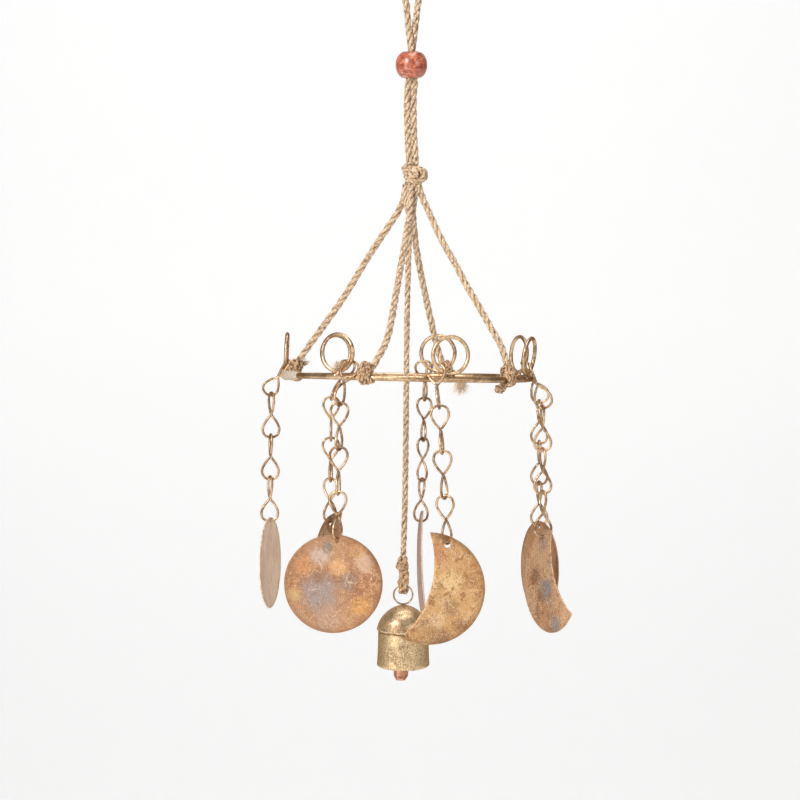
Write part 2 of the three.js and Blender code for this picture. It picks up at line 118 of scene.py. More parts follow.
BELL_CORD_ROUTE = [
    (0.3, 0.1, -136.8), (-0.4, 0, -146), (-1.2, 0, -157), (-1.9, 0, -172), (-2.4, 0, -190), (-2.9, 0, -210),
    (-3.2, 0, -232), (-3.4, 0, -255), (-3.6, 0, -278), (-3.9, 0, -303), (-4.3, 0, -330), (-5.0, 0, -350),
    (-5.4, 0, -361),
]

# Knots on the hoop: place on it in degrees, half sizes along it, across it and upwards, and lift above it.
HOOP_KNOTS = {
    "left": (157, (4.9, 4.6, 6.4), 4.4),
    "front_left": (250.6, (4.9, 4.7, 6.4), 3.1),
    "back_right": (70.8, (4.9, 4.7, 6.4), 3.4),
    "right": (323, (5.6, 4.9, 6.6), 2.9),
}

# One entry a string: place on the hoop, side the chain hooks on, leans, link sizes, link turns, drift and moon.
STRINGS = [
    dict(angle=180, side=-1, ring_lean=-3, lean=31, sway=0, first=0.88, size=0.98, turns=(-70, -80, -74), drift=(-0.4, 0),
         moon=dict(kind="disc", radius=27.2, edge=3.0, heading=79, roll=1)),
    dict(angle=127, side=1, ring_lean=0, lean=32, sway=8, first=1.03, size=0.99, turns=(14, 4, -36), drift=(-0.3, 0),
         moon=dict(kind="crescent", radius=32.5, tips=(94, -128), sag=9, hole=(12.4, 25.2), heading=120, roll=0)),
    dict(angle=236, side=-1, ring_lean=0, lean=32, sway=0, first=1.06, size=1.005, turns=(-8, 2, -16), drift=(-0.5, 0.2),
         moon=dict(kind="disc", radius=28.6, edge=3.1, heading=1, roll=5)),
    dict(angle=75.2, side=-1, ring_lean=0, lean=32, sway=-6, first=1.03, size=0.985, turns=(27, 47, 70), drift=(-0.8, 0),
         moon=dict(kind="crescent", radius=32.5, tips=(91, -122), sag=9, hole=(10.6, 24.6), heading=95.5, roll=0)),
    dict(angle=289.5, side=1, ring_lean=0, lean=32, sway=-8, first=1.07, size=1.015, turns=(2, -8, -20), drift=(1.5, 0.2),
         moon=dict(kind="crescent", radius=32.5, tips=(89, -119), sag=9.1, hole=(10.6, 25.2), heading=0, roll=0)),
    dict(angle=24.5, side=1, ring_lean=3, lean=34, sway=-3, first=1.02, size=0.97, turns=(-78, -84, -76), drift=(0, 0),
         moon=dict(kind="disc", radius=28.5, edge=3.2, heading=111, roll=0)),
    dict(angle=341, side=-1, ring_lean=9, lean=32, sway=0, first=1.03, size=0.995, turns=(-82, -74, -70), drift=(0.1, 0),
         moon=dict(kind="crescent", radius=30.5, tips=(94.6, -144.9), sag=8.5, hole=(8, 25.6), heading=118, roll=0)),
]

CAMERA_TARGET = Vector((-0.0072, 0.0, -0.2652))
CAMERA_DISTANCE = 2.05
CAMERA_PITCH = math.radians(1.1)


# ---- Settings a user would change ----------------------------------------------------------------------------
class MobileCordSettings(bpy.types.PropertyGroup):
    """Twine of the loop, the cords and the knots"""
    pitch: FloatProperty(name="Twist pitch", description="Length of one full turn of the strands, in cord diameters",
                         default=4.4, min=1.5, max=8)
    hair_spacing: FloatProperty(name="Hair spacing", description="Length of cord between two loose fibres",
                                default=0.00028, min=0.0001, subtype="DISTANCE", unit="LENGTH")
    pale: FloatVectorProperty(name="Pale jute", description="Colour of the strands' crowns",
                              default=(0.84, 0.59, 0.35), subtype="COLOR", size=3)
    # Painted shade: this colour is painted between the strands, where the grooves of the twist lie in shade.
    groove_shade: FloatVectorProperty(name="Deep jute", description="Colour between the strands",
                              default=(0.40, 0.225, 0.10), subtype="COLOR", size=3)


class MobileWireSettings(bpy.types.PropertyGroup):
    """Brass wire of the hoop, rings and links"""
    sides: IntProperty(name="Wire sides", description="Sides of the wire's round section", default=12, min=6, max=32)
    bright: FloatVectorProperty(name="Bright brass", description="Colour where the wire is rubbed bright",
                                default=(0.74, 0.52, 0.32), subtype="COLOR", size=3)
    brown: FloatVectorProperty(name="Browned brass", description="Colour where the wire has darkened",
                               default=(0.29, 0.165, 0.085), subtype="COLOR", size=3)


class MobileMoonSettings(bpy.types.PropertyGroup):
    """Sheet metal of the moons"""
    dish: FloatProperty(name="Dish", description="Height of the hammered dish", default=0.0007,
                        subtype="DISTANCE", unit="LENGTH")
    rim: FloatProperty(name="Rim rounding", description="Rounding along the cut edges", default=0.00022,
                       subtype="DISTANCE", unit="LENGTH")


class MobileBellSettings(bpy.types.PropertyGroup):
    """Brass of the bell"""
    dent: FloatProperty(name="Dent depth", description="Depth of the hand-made unevenness", default=0.00028,
                        subtype="DISTANCE", unit="LENGTH")
    colour: FloatVectorProperty(name="Bell brass", description="Main colour of the bell's body",
                                default=(0.70, 0.48, 0.255), subtype="COLOR", size=3)


class MobileStageSettings(bpy.types.PropertyGroup):
    """Backdrop and light"""
    backdrop: FloatVectorProperty(name="Backdrop", description="Colour of the backdrop and floor",
                                  default=(0.90, 0.90, 0.895), subtype="COLOR", size=3)


# ---- Node maths ----------------------------------------------------------------------------------------------
class Value:
    """A node's output that takes part in Python expressions; each operation adds its node"""

    def __init__(self, finish, socket):
        self.finish = finish
        self.socket = socket

    def _combine(self, operation, first, second):
        is_vector = any(isinstance(x, Value) and x.socket.type == "VECTOR" for x in (first, second))
        kind = "ShaderNodeVectorMath" if is_vector else "ShaderNodeMath"
        return self.finish.node(kind, {"operation": operation}, {0: first, 1: second})

    def __add__(self, other):
        return self._combine("ADD", self, other)

    def __radd__(self, other):
        return self._combine("ADD", other, self)

    def __sub__(self, other):
        return self._combine("SUBTRACT", self, other)

    def __rsub__(self, other):
        return self._combine("SUBTRACT", other, self)

    def __mul__(self, other):
        return self._combine("MULTIPLY", self, other)

    def __rmul__(self, other):
        return self._combine("MULTIPLY", other, self)

    def __truediv__(self, other):
        return self._combine("DIVIDE", self, other)

    def __pow__(self, other):
        return self._combine("POWER", self, other)


class Finish:
    """A material and the nodes that make it"""

    def __init__(self, name, slot):
        self.material = bpy.data.materials.new(name)
        self.material.use_nodes = True
        self.tree = self.material.node_tree
        self.tree.nodes.clear()
        self.slot = slot
        self.place = self.node("ShaderNodeTexCoord", {}, {}, "Object")

    def node(self, kind, settings, inputs, output=None):
        """Adds a node; settings are set first, then each socket gets its value or link"""
        made = self.tree.nodes.new(kind)
        for key, value in settings.items():
            if key == "stops":
                ramp = made.color_ramp
                while len(ramp.elements) < len(value):
                    ramp.elements.new(0.5)
                for element, (position, colour) in zip(ramp.elements, value):
                    element.position = position
                    element.color = (*colour, 1)
            else:
                setattr(made, key, value)
        for key, value in inputs.items():
            socket = made.inputs[key]
            if isinstance(value, Value):
                self.tree.links.new(value.socket, socket)
            elif socket.type == "RGBA" and len(value) == 3:
                socket.default_value = (*value, 1)
            elif socket.type == "VECTOR" and isinstance(value, (int, float)):
                socket.default_value = (value, value, value)
            else:
                socket.default_value = value
        if output is None:
            output = next((s.name for s in made.outputs if s.enabled), None)
        chosen = next((s for s in made.outputs if s.enabled and s.name == output), None)
        return Value(self, chosen) if chosen else made

    def noise(self, scale, detail=3.0, roughness=0.55, place=None, distortion=0.0):
        return self.node("ShaderNodeTexNoise", {}, {"Vector": place or self.place, "Scale": scale, "Detail": detail,
                                                    "Roughness": roughness, "Distortion": distortion}, "Fac")

    def band(self, value, low, high):
        """A smooth step from 0 at low to 1 at high"""
        return self.node("ShaderNodeMapRange", {"interpolation_type": "SMOOTHSTEP"},
                         {"Value": value, "From Min": low, "From Max": high})

    def blend(self, factor, first, second, mode="MIX"):
        return self.node("ShaderNodeMix", {"data_type": "RGBA", "blend_type": mode},
                         {0: factor, 6: first, 7: second}, "Result")

    def blotch(self, centre, radius, ragged=0.5, scale=260.0):
        """A ragged-edged patch round a point, 1 in its middle"""
        away = self.node("ShaderNodeVectorMath", {"operation": "DISTANCE"}, {0: self.place, 1: centre}, "Value")
        edge = self.noise(scale, 5.0, 0.65)
        return self.band(away / radius + (edge - 0.5) * (2.0 * ragged), 1.0, 0.35)

    def shade(self, base, roughness, metallic, height=None, strength=0.3, reach=0.0004, constants=None):
        """Joins the finished values to the shader and the output"""
        inputs = {"Base Color": base, "Roughness": roughness, "Metallic": metallic}
        if height is not None:
            inputs["Normal"] = self.node("ShaderNodeBump", {}, {"Strength": strength, "Distance": reach,
                                                                "Height": height}, "Normal")
        inputs.update(constants or {})
        surface = self.node("ShaderNodeBsdfPrincipled", {}, inputs, "BSDF")
        self.node("ShaderNodeOutputMaterial", {}, {"Surface": surface})
        return self


# ---- Finishes ------------------------------------------------------------------------------------------------
def jute_finish(name, settings, tangle=0.0, pale=None, groove_shade=None):
    """Twisted jute: fibre lines along each strand, painted shade between the strands, and on the knots fewer pale lines
    and more dark specks as painted shade inside the tangle
    """
    f = Finish(name, "jute")
    lay = f.node("ShaderNodeAttribute", {"attribute_name": "lay"}, {}, "Vector")
    parts = f.node("ShaderNodeSeparateXYZ", {}, {0: lay}, "X")
    split = parts.socket.node
    around = f.node("ShaderNodeMath", {"operation": "ARCTAN2"}, {0: Value(f, split.outputs["Y"]), 1: parts})
    along = Value(f, split.outputs["Z"])
    stray = f.noise(900.0, 4.0, 0.6)
    lines = f.node("ShaderNodeMath", {"operation": "SINE"}, {0: around * 4.0 + along * 1900.0 + stray * 14.0})
    fibre = f.node("ShaderNodeMath", {"operation": "SINE"}, {0: around * 7.0 - along * 1300.0 + stray * 22.0})
    coarse = f.noise(210.0, 4.0, 0.6)
    depth = f.node("ShaderNodeAttribute", {"attribute_name": "groove"}, {}, "Fac")
    # Painted shade: the groove mask, broken up by noise, darkens the colour between the strands (blended in below).
    shade = f.band(depth + (stray - 0.5) * 0.9, 0.20, 0.85)
    base = f.blend(f.band(coarse, 0.44, 0.62) * 0.55, pale or tuple(settings.pale), (0.62, 0.35, 0.155))
    # Painted shade: tangle thins the pale fibre lines here and adds dark specks below, darkening the knots' finishes
    # for the shade inside them.
    base = f.blend(f.band(lines * 0.5 + 0.5, 0.35, 0.95) * (0.7 - tangle), base, (0.97, 0.85, 0.67))
    base = f.blend(shade, base, groove_shade or tuple(settings.groove_shade))
    base = f.blend(f.band(fibre * 0.5 + 0.5, 0.60, 1.0) * 0.6, base, (0.26, 0.135, 0.055))
    # Dark specks along the jute; the tangle share adds more of them as painted shade in the knots.
    base = f.blend(f.band(f.noise(560.0, 4.0, 0.65), 0.53, 0.61) * (0.7 + tangle), base, (0.14, 0.062, 0.024))
    height = lines * 0.4 + fibre * 0.35 + stray
    return f.shade(base, 0.92, 0.0, height, 0.7, 0.0004,
                   {"Sheen Weight": 0.25, "Sheen Roughness": 0.6, "Specular IOR Level": 0.2})


def wire_finish(name, slot, settings, wear=0.5, pits=0.3, amount=1.0):
    """Aged brass wire: rubbed bright in places, browned in others, with small dark pits"""
    f = Finish(name, slot)
    broad = f.noise(90.0, 4.0, 0.6)
    fine = f.noise(620.0, 5.0, 0.7)
    base = f.blend(f.band(broad + (fine - 0.5) * 0.9, wear - 0.12, wear + 0.14) * amount, tuple(settings.bright),
                   tuple(settings.brown))
    base = f.blend(f.band(fine, 0.54, 0.66) * 0.6, base, (0.44, 0.23, 0.10))
    dark = f.band(f.noise(380.0, 4.0, 0.7), 0.57, 0.68) * pits
    base = f.blend(dark, base, (0.05, 0.03, 0.018))
    rough = 0.26 + fine * 0.22 + dark * 0.25
    return f.shade(base, rough, 0.95 - dark * 0.4, fine + broad, 0.35, 0.0003, {"Specular Tint": (0.30, 0.17, 0.09)})


def sheet_finish(name, slot, base, warm, cool, gold, patches=(), grain=0.0, spots=0.5, seed=0.0, metal=0.8, edge=0.5, fleck=1.0,
                 pits=0.0, outer=None):
    """Copper or brass sheet with a mottled patina, any stated patches: (point, radius, colour, amount), and painted
    shade that darkens it towards its rim
    """
    f = Finish(name, slot)
    moved = f.place + (seed, seed * 0.7, -seed)
    broad = f.noise(38.0, 3.0, 0.5, moved, 0.6)
    middle = f.noise(120.0, 6.0, 0.66, moved)
    small = f.noise(420.0, 6.0, 0.75, moved)
    speck = f.noise(1400.0, 3.0, 0.65, moved)
    colour = f.blend(f.band(broad + (middle - 0.5) * 0.8, 0.40, 0.60), base, warm)
    colour = f.blend(f.band(middle + (small - 0.5) * 0.9, 0.49, 0.62) * 0.8, colour, gold)
    colour = f.blend(f.band(f.noise(60.0, 5.0, 0.6, moved), 0.55, 0.66) * 0.55, colour, cool)
    for point, radius, tint, amount in patches:
        colour = f.blend(f.blotch(point, radius) * amount, colour, tint)
    pit = f.band(f.noise(230.0, 5.0, 0.7, moved, 0.4), 0.54, 0.62)
    colour = f.blend(pit * pits, colour, (0.33, 0.13, 0.05))
    spot = f.band(small + (middle - 0.5) * 0.8, 0.59, 0.68) * spots
    colour = f.blend(spot, colour, (0.17, 0.085, 0.04))
    scratch = f.node("ShaderNodeMath", {"operation": "ABSOLUTE"}, {0: f.noise(75.0, 2.0, 0.5, moved, 1.6) - 0.5})
    colour = f.blend(f.band(scratch, 0.010, 0.002) * f.band(small, 0.42, 0.55) * 0.6, colour, (0.86, 0.66, 0.50))
    colour = f.blend(f.band(speck + (middle - 0.5) * 0.9, 0.54, 0.64) * 0.3 * fleck, colour, (0.95, 0.70, 0.46))
    colour = f.blend(f.band(speck, 0.52, 0.62) * 0.32 * fleck, colour, (0.95, 0.70, 0.46))
    colour = f.blend(f.band(speck - (middle - 0.5) * 0.3, 0.485, 0.38) * 0.55 * fleck, colour, (0.20, 0.095, 0.045))
    # Painted shade: the sheet darkens towards its outer rim, standing in for the shade on the dished edge; edge sets
    # how strong it is.
    rim_shade_centre, radius = outer
    away = f.node("ShaderNodeVectorMath", {"operation": "DISTANCE"}, {0: f.place, 1: rim_shade_centre}, "Value")
    rim = f.band(away / radius + (middle - 0.5) * 0.16, 0.86, 1.02)
    colour = f.blend(rim * edge, colour, (0.22, 0.11, 0.06))
    height = small * 0.8 + speck * 0.5 + middle
    if grain:
        stretched = f.node("ShaderNodeMapping", {}, {"Vector": moved, "Scale": (900.0, 900.0, 45.0)})
        brushed = f.noise(1.0, 3.0, 0.6, stretched)
        colour = f.blend(f.band(brushed, 0.44, 0.58) * grain, colour, (1.0, 0.82, 0.66))
        height = height + brushed * 0.5
    rough = 0.34 + middle * 0.22 + spot * 0.2
    return f.shade(colour, rough, metal - spot * 0.35, height, 0.5, 0.0005, {"Specular Tint": (0.45, 0.27, 0.16)})


def bead_finish():
    """Polished red-brown wood with darker mottling"""
    f = Finish("bead_polish", "bead_wood")
    local = f.place - tuple(v * MM for v in BEAD_CENTRE)
    stretched = f.node("ShaderNodeMapping", {}, {"Vector": local, "Scale": (1.0, 1.0, 1.6), "Rotation": (0.5, 0.25, 0)})
    rings = f.noise(260.0, 5.0, 0.65, stretched, 0.8)
    flecks = f.noise(900.0, 4.0, 0.65, stretched)
    base = f.blend(f.band(rings, 0.38, 0.60), (0.26, 0.045, 0.02), (0.62, 0.16, 0.075))
    base = f.blend(f.band(f.noise(150.0, 3.0, 0.5, local, 1.2), 0.50, 0.64) * 0.6, base, (0.76, 0.32, 0.18))
    base = f.blend(f.band(flecks, 0.51, 0.62) * 0.8, base, (0.10, 0.018, 0.008))
    return f.shade(base, 0.3 + flecks * 0.2, 0.0, flecks + rings, 0.2, 0.0002,
                   {"Coat Weight": 0.7, "Coat Roughness": 0.22})


def bell_finish(name, pale, brown, heavy, seed):
    """Aged brass of the bell: greenish gold with brown mottling"""
    f = Finish(name, "bell_brass")
    moved = f.place + (seed, -seed, seed)
    broad = f.noise(70.0, 4.0, 0.6, moved, 0.5)
    middle = f.noise(260.0, 6.0, 0.72, moved)
    speck = f.noise(1300.0, 3.0, 0.65, moved)
    mottle = f.band(broad * 0.6 + middle * 0.6, heavy, heavy + 0.14)
    colour = f.blend(mottle * 0.85, pale, brown)
    colour = f.blend(f.band(middle, 0.56, 0.66) * 0.65, colour, (0.20, 0.11, 0.045))
    colour = f.blend(f.band(speck, 0.50, 0.62) * 0.6, colour, (0.95, 0.82, 0.58))
    colour = f.blend(f.band(speck, 0.49, 0.38) * 0.65, colour, (0.24, 0.13, 0.05))
    return f.shade(colour, 0.30 + mottle * 0.14 + middle * 0.12, 0.95 - mottle * 0.25, middle + speck * 0.6, 0.32, 0.0004,
                   {"Specular Tint": (0.35, 0.22, 0.10)})


def solder_finish():
    """Dull grey solder"""
    f = Finish("solder_grey", "brass_wire")
    small = f.noise(500.0, 5.0, 0.7)
    colour = f.blend(f.band(small, 0.42, 0.60), (0.62, 0.55, 0.47), (0.42, 0.33, 0.24))
    colour = f.blend(f.band(f.noise(240.0, 4.0, 0.6), 0.50, 0.60) * 0.75, colour, (0.62, 0.40, 0.20))
    return f.shade(colour, 0.45 + small * 0.25, 0.25, small, 0.5, 0.0004)


def clapper_finish():
    """Dull reddish copper of the clapper"""
    f = Finish("clapper_copper", "clapper_copper")
    middle = f.noise(300.0, 5.0, 0.65)
    colour = f.blend(f.band(middle, 0.4, 0.62), (0.66, 0.33, 0.20), (0.26, 0.10, 0.05))
    colour = f.blend(f.band(f.noise(900.0, 3.0, 0.6), 0.55, 0.66) * 0.5, colour, (0.75, 0.45, 0.30))
    return f.shade(colour, 0.38 + middle * 0.2, 0.85, middle, 0.35, 0.0004)


# ---- Shapes --------------------------------------------------------------------------------------------------
def in_metres(point):
    return Vector(point) * MM


def smooth_route(points, count):
    """Points evenly spaced along a centripetal Catmull-Rom curve through the given points"""
    pts = [Vector(p) for p in points]
    ends = [pts[0] * 2 - pts[1]] + pts + [pts[-1] * 2 - pts[-2]]
    dense = []
    for p0, p1, p2, p3 in zip(ends, ends[1:], ends[2:], ends[3:]):
        d0, d1, d2 = (math.sqrt(max((b - a).length, 1e-9)) for a, b in ((p0, p1), (p1, p2), (p2, p3)))
        t1 = ((p1 - p0) / d0 - (p2 - p0) / (d0 + d1) + (p2 - p1) / d1) * d1
        t2 = ((p2 - p1) / d1 - (p3 - p1) / (d1 + d2) + (p3 - p2) / d2) * d1
        for i in range(24):
            t = i / 24
            dense.append(p1 + t1 * t + (p2 * 3 - p1 * 3 - t1 * 2 - t2) * t * t + (p1 * 2 - p2 * 2 + t1 + t2) * t ** 3)
    dense.append(pts[-1])
    lengths = [0.0]
    for a, b in zip(dense, dense[1:]):
        lengths.append(lengths[-1] + (b - a).length)
    out, k = [], 0
    for i in range(count + 1):
        goal = lengths[-1] * i / count
        while k < len(dense) - 2 and lengths[k + 1] < goal:
            k += 1
        span = max(lengths[k + 1] - lengths[k], 1e-12)
        out.append(dense[k].lerp(dense[k + 1], min(1.0, (goal - lengths[k]) / span)))
    return out


def path_length(points):
    return sum((b - a).length for a, b in zip(points, points[1:]))


def frames_along(points):
    """A frame at each point, Z along the path, turned as little as possible from one to the next"""
    tangents = []
    for i in range(len(points)):
        tangents.append((points[min(i + 1, len(points) - 1)] - points[max(i - 1, 0)]).normalized())
    side = tangents[0].orthogonal().normalized()
    frames = []
    for point, tangent in zip(points, tangents):
        side = (side - tangent * side.dot(tangent)).normalized()
        over = tangent.cross(side)
        frames.append(Matrix.Translation(point) @ Matrix((side, over, tangent)).transposed().to_4x4())
    return frames


def sweep(bm, points, radius, sides, groove_from=None, squeeze=None):
    """Extrudes a round section along the points, with round ends; lay keeps the place round and along it"""
    frames = frames_along(points)
    lay = bm.verts.layers.float_vector.get("lay") or bm.verts.layers.float_vector.new("lay")
    stations = [(frames[0] @ Matrix.Translation((0, 0, -radius * z)), r) for z, r in ((0.94, 0.35), (0.7, 0.72), (0.34, 0.94))]
    stations += [(m, 1.0) for m in frames]
    stations += [(frames[-1] @ Matrix.Translation((0, 0, radius * z)), r) for z, r in ((0.34, 0.94), (0.7, 0.72), (0.94, 0.35))]
    placed = []
    for index, (matrix, share) in enumerate(stations):
        swell = share * (squeeze(index / (len(stations) - 1)) if squeeze else 1.0)
        placed.append(matrix @ Matrix.Diagonal((swell, swell, 1, 1)))
    made = bmesh.ops.create_circle(bm, cap_ends=False, segments=sides, radius=radius, matrix=placed[0])["verts"]
    for i, vert in enumerate(made):
        a = 2 * math.pi * i / sides
        vert[lay] = (math.cos(a), math.sin(a), 0.0)
    edges = list({e for v in made for e in v.link_edges})
    bmesh.ops.contextual_create(bm, geom=edges)
    everything = list(made)
    travelled = 0.0
    for before, after in zip(placed, placed[1:]):
        grown = bmesh.ops.extrude_edge_only(bm, edges=edges)["geom"]
        verts = [g for g in grown if isinstance(g, bmesh.types.BMVert)]
        edges = [g for g in grown if isinstance(g, bmesh.types.BMEdge)]
        bmesh.ops.transform(bm, matrix=after @ before.inverted(), verts=verts)
        travelled += (after.translation - before.translation).length
        for vert in verts:
            turn = vert[lay]
            vert[lay] = (turn[0], turn[1], travelled)
        everything += verts
    bmesh.ops.contextual_create(bm, geom=edges)
    return everything


def rope(bm, points, diameter, pitch, strands=3, sides=8, phase=0.0, steps_a_turn=16, fullness=1.28):
    """Twisted twine along the points: strands wound round each other, with the grooves marked for the finish"""
    strand = 0.5 * diameter / (1 + 1 / math.sin(math.pi / strands))
    out = diameter / 2 - strand
    length = path_length(points)
    turns = length / (pitch * diameter)
    steps = max(8, int(turns * steps_a_turn))
    middle = smooth_route(points, steps)
    groove = bm.verts.layers.float.get("groove") or bm.verts.layers.float.new("groove")
    for k in range(strands):
        line = []
        for i, matrix in enumerate(frames_along(middle)):
            a = phase + 2 * math.pi * (k / strands + turns * i / steps) + 1.1 * noise.noise(matrix.translation * 90)
            wobble = 1 + 0.22 * noise.noise(matrix.translation * 260 + Vector((k * 7.1, 0, 0)))
            line.append(matrix @ Vector((math.cos(a) * out * wobble, math.sin(a) * out * wobble, 0)))
        for n, vert in enumerate(sweep(bm, line, strand * fullness, sides)):
            station = min(max(n // sides - 3, 0), steps)
            away = (vert.co - middle[station]).length
            vert[groove] = min(1.0, max(0.0, 1.3 - (away - out * 0.75) / (diameter / 2 - out * 0.75)))


def tangle(bm, middle, size, count, diameter, pitch, seed):
    """Short turns of twine in all directions over a knot"""
    dice = random.Random(seed)
    for _ in range(count):
        axis = Vector((dice.uniform(-1, 1), dice.uniform(-1, 1), dice.uniform(-0.7, 0.7)))
        start = Vector((dice.uniform(-1, 1), dice.uniform(-1, 1), dice.uniform(-1, 1)))
        arc = loops_round(Vector(), axis, start, 1.0, dice.uniform(0.35, 0.8), 0.25)
        swell = dice.uniform(0.86, 1.06)
        points = [middle + Vector([p * s * swell for p, s in zip(point, size)]) for point in arc]
        rope(bm, points, diameter * dice.uniform(0.85, 1.15), pitch, strands=2, sides=6, phase=dice.uniform(0, 6))


def finished_piece(bm, name, finish, nodes=(), smooth=True):
    """Turns a bmesh into an object of the mobile, hangs it on the root body and hides the solids it stands for"""
    mesh = bpy.data.meshes.new(name)
    bm.to_mesh(mesh)
    bm.free()
    mesh.polygons.foreach_set("use_smooth", [smooth] * len(mesh.polygons))
    mesh.materials.append(finish.material)
    piece = bpy.data.objects.new(name, mesh)
    bpy.context.scene.collection.objects.link(piece)
    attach(piece, "root")
    if nodes:
        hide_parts(*nodes)
    return piece


def outward(bm):
    bmesh.ops.recalc_face_normals(bm, faces=bm.faces[:])


def torus(bm, radius, wire, sides, steps, matrix, oval=1.0):
    """A closed ring of wire in the plane at right angles to the matrix's Y"""
    start = Matrix.Translation((radius, 0, 0))
    made = bmesh.ops.create_circle(bm, cap_ends=False, segments=sides, radius=wire / 2,
                                   matrix=start @ Matrix.Rotation(math.radians(0), 4, "X"))["verts"]
    edges = list({e for v in made for e in v.link_edges})
    old = set(bm.verts) - set(made)
    bmesh.ops.spin(bm, geom=list(made) + edges, cent=(0, 0, 0), axis=(0, 1, 0), angle=2 * math.pi, steps=steps,
                   use_merge=True)
    fresh = [v for v in bm.verts if v not in old]
    bmesh.ops.remove_doubles(bm, verts=fresh, dist=1e-6)
    fresh = [v for v in bm.verts if v not in old]
    bmesh.ops.scale(bm, vec=(1, 1, oval), verts=fresh)
    bmesh.ops.transform(bm, matrix=matrix, verts=fresh)
    return fresh


def lump(bm, size, matrix, grain=0.0, scale=400.0, segments=24, rings=16):
    """A rounded lump with an uneven surface"""
    made = bmesh.ops.create_uvsphere(bm, u_segments=segments, v_segments=rings, radius=1.0)["verts"]
    bmesh.ops.scale(bm, vec=size, verts=made)
    bmesh.ops.transform(bm, matrix=matrix, verts=made)
    if grain:
        middle = matrix.translation
        for vert in made:
            vert.co += (vert.co - middle).normalized() * grain * noise.noise(vert.co * scale)
    return made


# ---- The hoop's own geometry ---------------------------------------------------------------------------------
def hoop_rise(x, y):
    return HOOP_TILT * x + HOOP_WARP * x * y


def hoop_point(angle):
    x = HOOP_RADIUS * math.cos(math.radians(angle))
    y = HOOP_RADIUS * math.sin(math.radians(angle))
    return Vector((x, y, hoop_rise(x, y))) + Vector(HOOP_CENTRE)


def ring_stand(string):
    """The frame at a ring's foot: X along the hoop, Y outwards, Z up"""
    turn = Matrix.Rotation(math.radians(string["angle"] - 90), 4, "Z")
    lean = Matrix.Rotation(-math.radians(string["ring_lean"]), 4, "X")
    return Matrix.Translation(hoop_point(string["angle"])) @ turn @ lean


RING_LIFT = HOOP_WIRE / 2 + GAP + RING_WIRE / 2 + RING_RADIUS


def link_points(size):
    half = LINK_HALF * size
    full = LINK_LOOP_HALF_WIDTH * size / 0.77
    mouth = math.radians(LINK_MOUTH)
    loop = []
    for i in range(9):
        a = mouth + (2 * math.pi - 2 * mouth) * i / 8
        loop.append((full * math.sin(a) * math.sin(a / 2), half * (1 - math.cos(a)) / 2))
    turn = math.radians(LINK_TWIST)
    upper = [Vector((across, 0, along)) for across, along in loop]
    lower = [Vector((across * math.cos(turn), across * math.sin(turn), -along)) for across, along in loop]
    return upper + lower


def first_link_matrix(string):
    hook, back = math.radians(HOOK_ANGLE), math.radians(HOOK_BACK)
    tip = Vector((math.sin(hook), 0, -math.cos(hook))) * RING_RADIUS
    tip += Vector((-math.sin(hook) * math.cos(back), -math.sin(back), math.cos(hook) * math.cos(back))) * HOOK_CLEARANCE
    tip.z += RING_LIFT
    tip.x *= string["side"]
    lean = Matrix.Rotation(math.radians(string["lean"]), 4, "X")
    yaw = Matrix.Rotation(-string["side"] * math.radians(HOOK_YAW), 4, "Z")
    sway = Matrix.Rotation(string["side"] * math.radians(string["sway"]), 4, "Y")
    turned = sway @ lean @ yaw
    place = tip - turned @ Vector((0, 0, LINK_HALF * string["first"]))
    return ring_stand(string) @ Matrix.Translation(place) @ turned


def string_layout(string):
    """Each link's matrix and size, and the point that the moon hangs from, in millimetres"""
    first = first_link_matrix(string)
    wire = smooth_route(link_points(string["first"]), 240)
    low = min((first @ p for p in wire), key=lambda p: p.z)
    links = [(first, string["first"])]
    length = 2 * LINK_HALF * string["size"]
    for turn in string["turns"]:
        top = low + Vector((0, 0, LINK_WIRE + LINK_GAP))
        bottom = top + Vector((string["drift"][0], string["drift"][1], -length))
        axis = (top - bottom).normalized()
        tilt = Vector((0, 0, 1)).rotation_difference(axis).to_matrix().to_4x4()
        spin = Matrix.Rotation(math.radians(turn), 4, "Z")
        links.append((Matrix.Translation((top + bottom) / 2) @ tilt @ spin, string["size"]))
        low = bottom
    hole = low - Vector((0, 0, HOLE_RADIUS - LINK_WIRE / 2 - LINK_GAP))
    return links, hole


def moon_matrix(string, hole):
    moon = string["moon"]
    heading = Matrix.Rotation(math.radians(moon["heading"]), 4, "Z")
    roll = Matrix.Rotation(math.radians(moon["roll"]), 4, "Y")
    return Matrix.Translation(hole) @ heading @ roll


# ---- Pieces --------------------------------------------------------------------------------------------------
def settings(name):
    return getattr(bpy.context.scene, name)


def hairs(bm, points, radius, spacing, seed, reach=(0.0010, 0.0034)):
    """Loose fibres that stand off a cord, each two thin tapered lengths"""
    dice = random.Random(seed)
    frames = frames_along(points)
    count = int(path_length(points) / spacing)
    for _ in range(count):
        matrix = frames[dice.randrange(len(frames))]
        turn = Matrix.Rotation(dice.uniform(0, 2 * math.pi), 4, "Z")
        lean = Matrix.Rotation(math.radians(dice.uniform(25, 100)) * dice.choice((1, 1, -1)), 4, "Y")
        length = dice.uniform(*reach) * dice.uniform(0.4, 1.0)
        thick = dice.uniform(0.00003, 0.00006)
        along = Matrix.Translation((0, 0, dice.uniform(-0.5, 0.5) * radius))
        root = matrix @ along @ turn @ Matrix.Translation((radius * 0.8, 0, 0)) @ lean
        hair(bm, root, length, thick, dice)


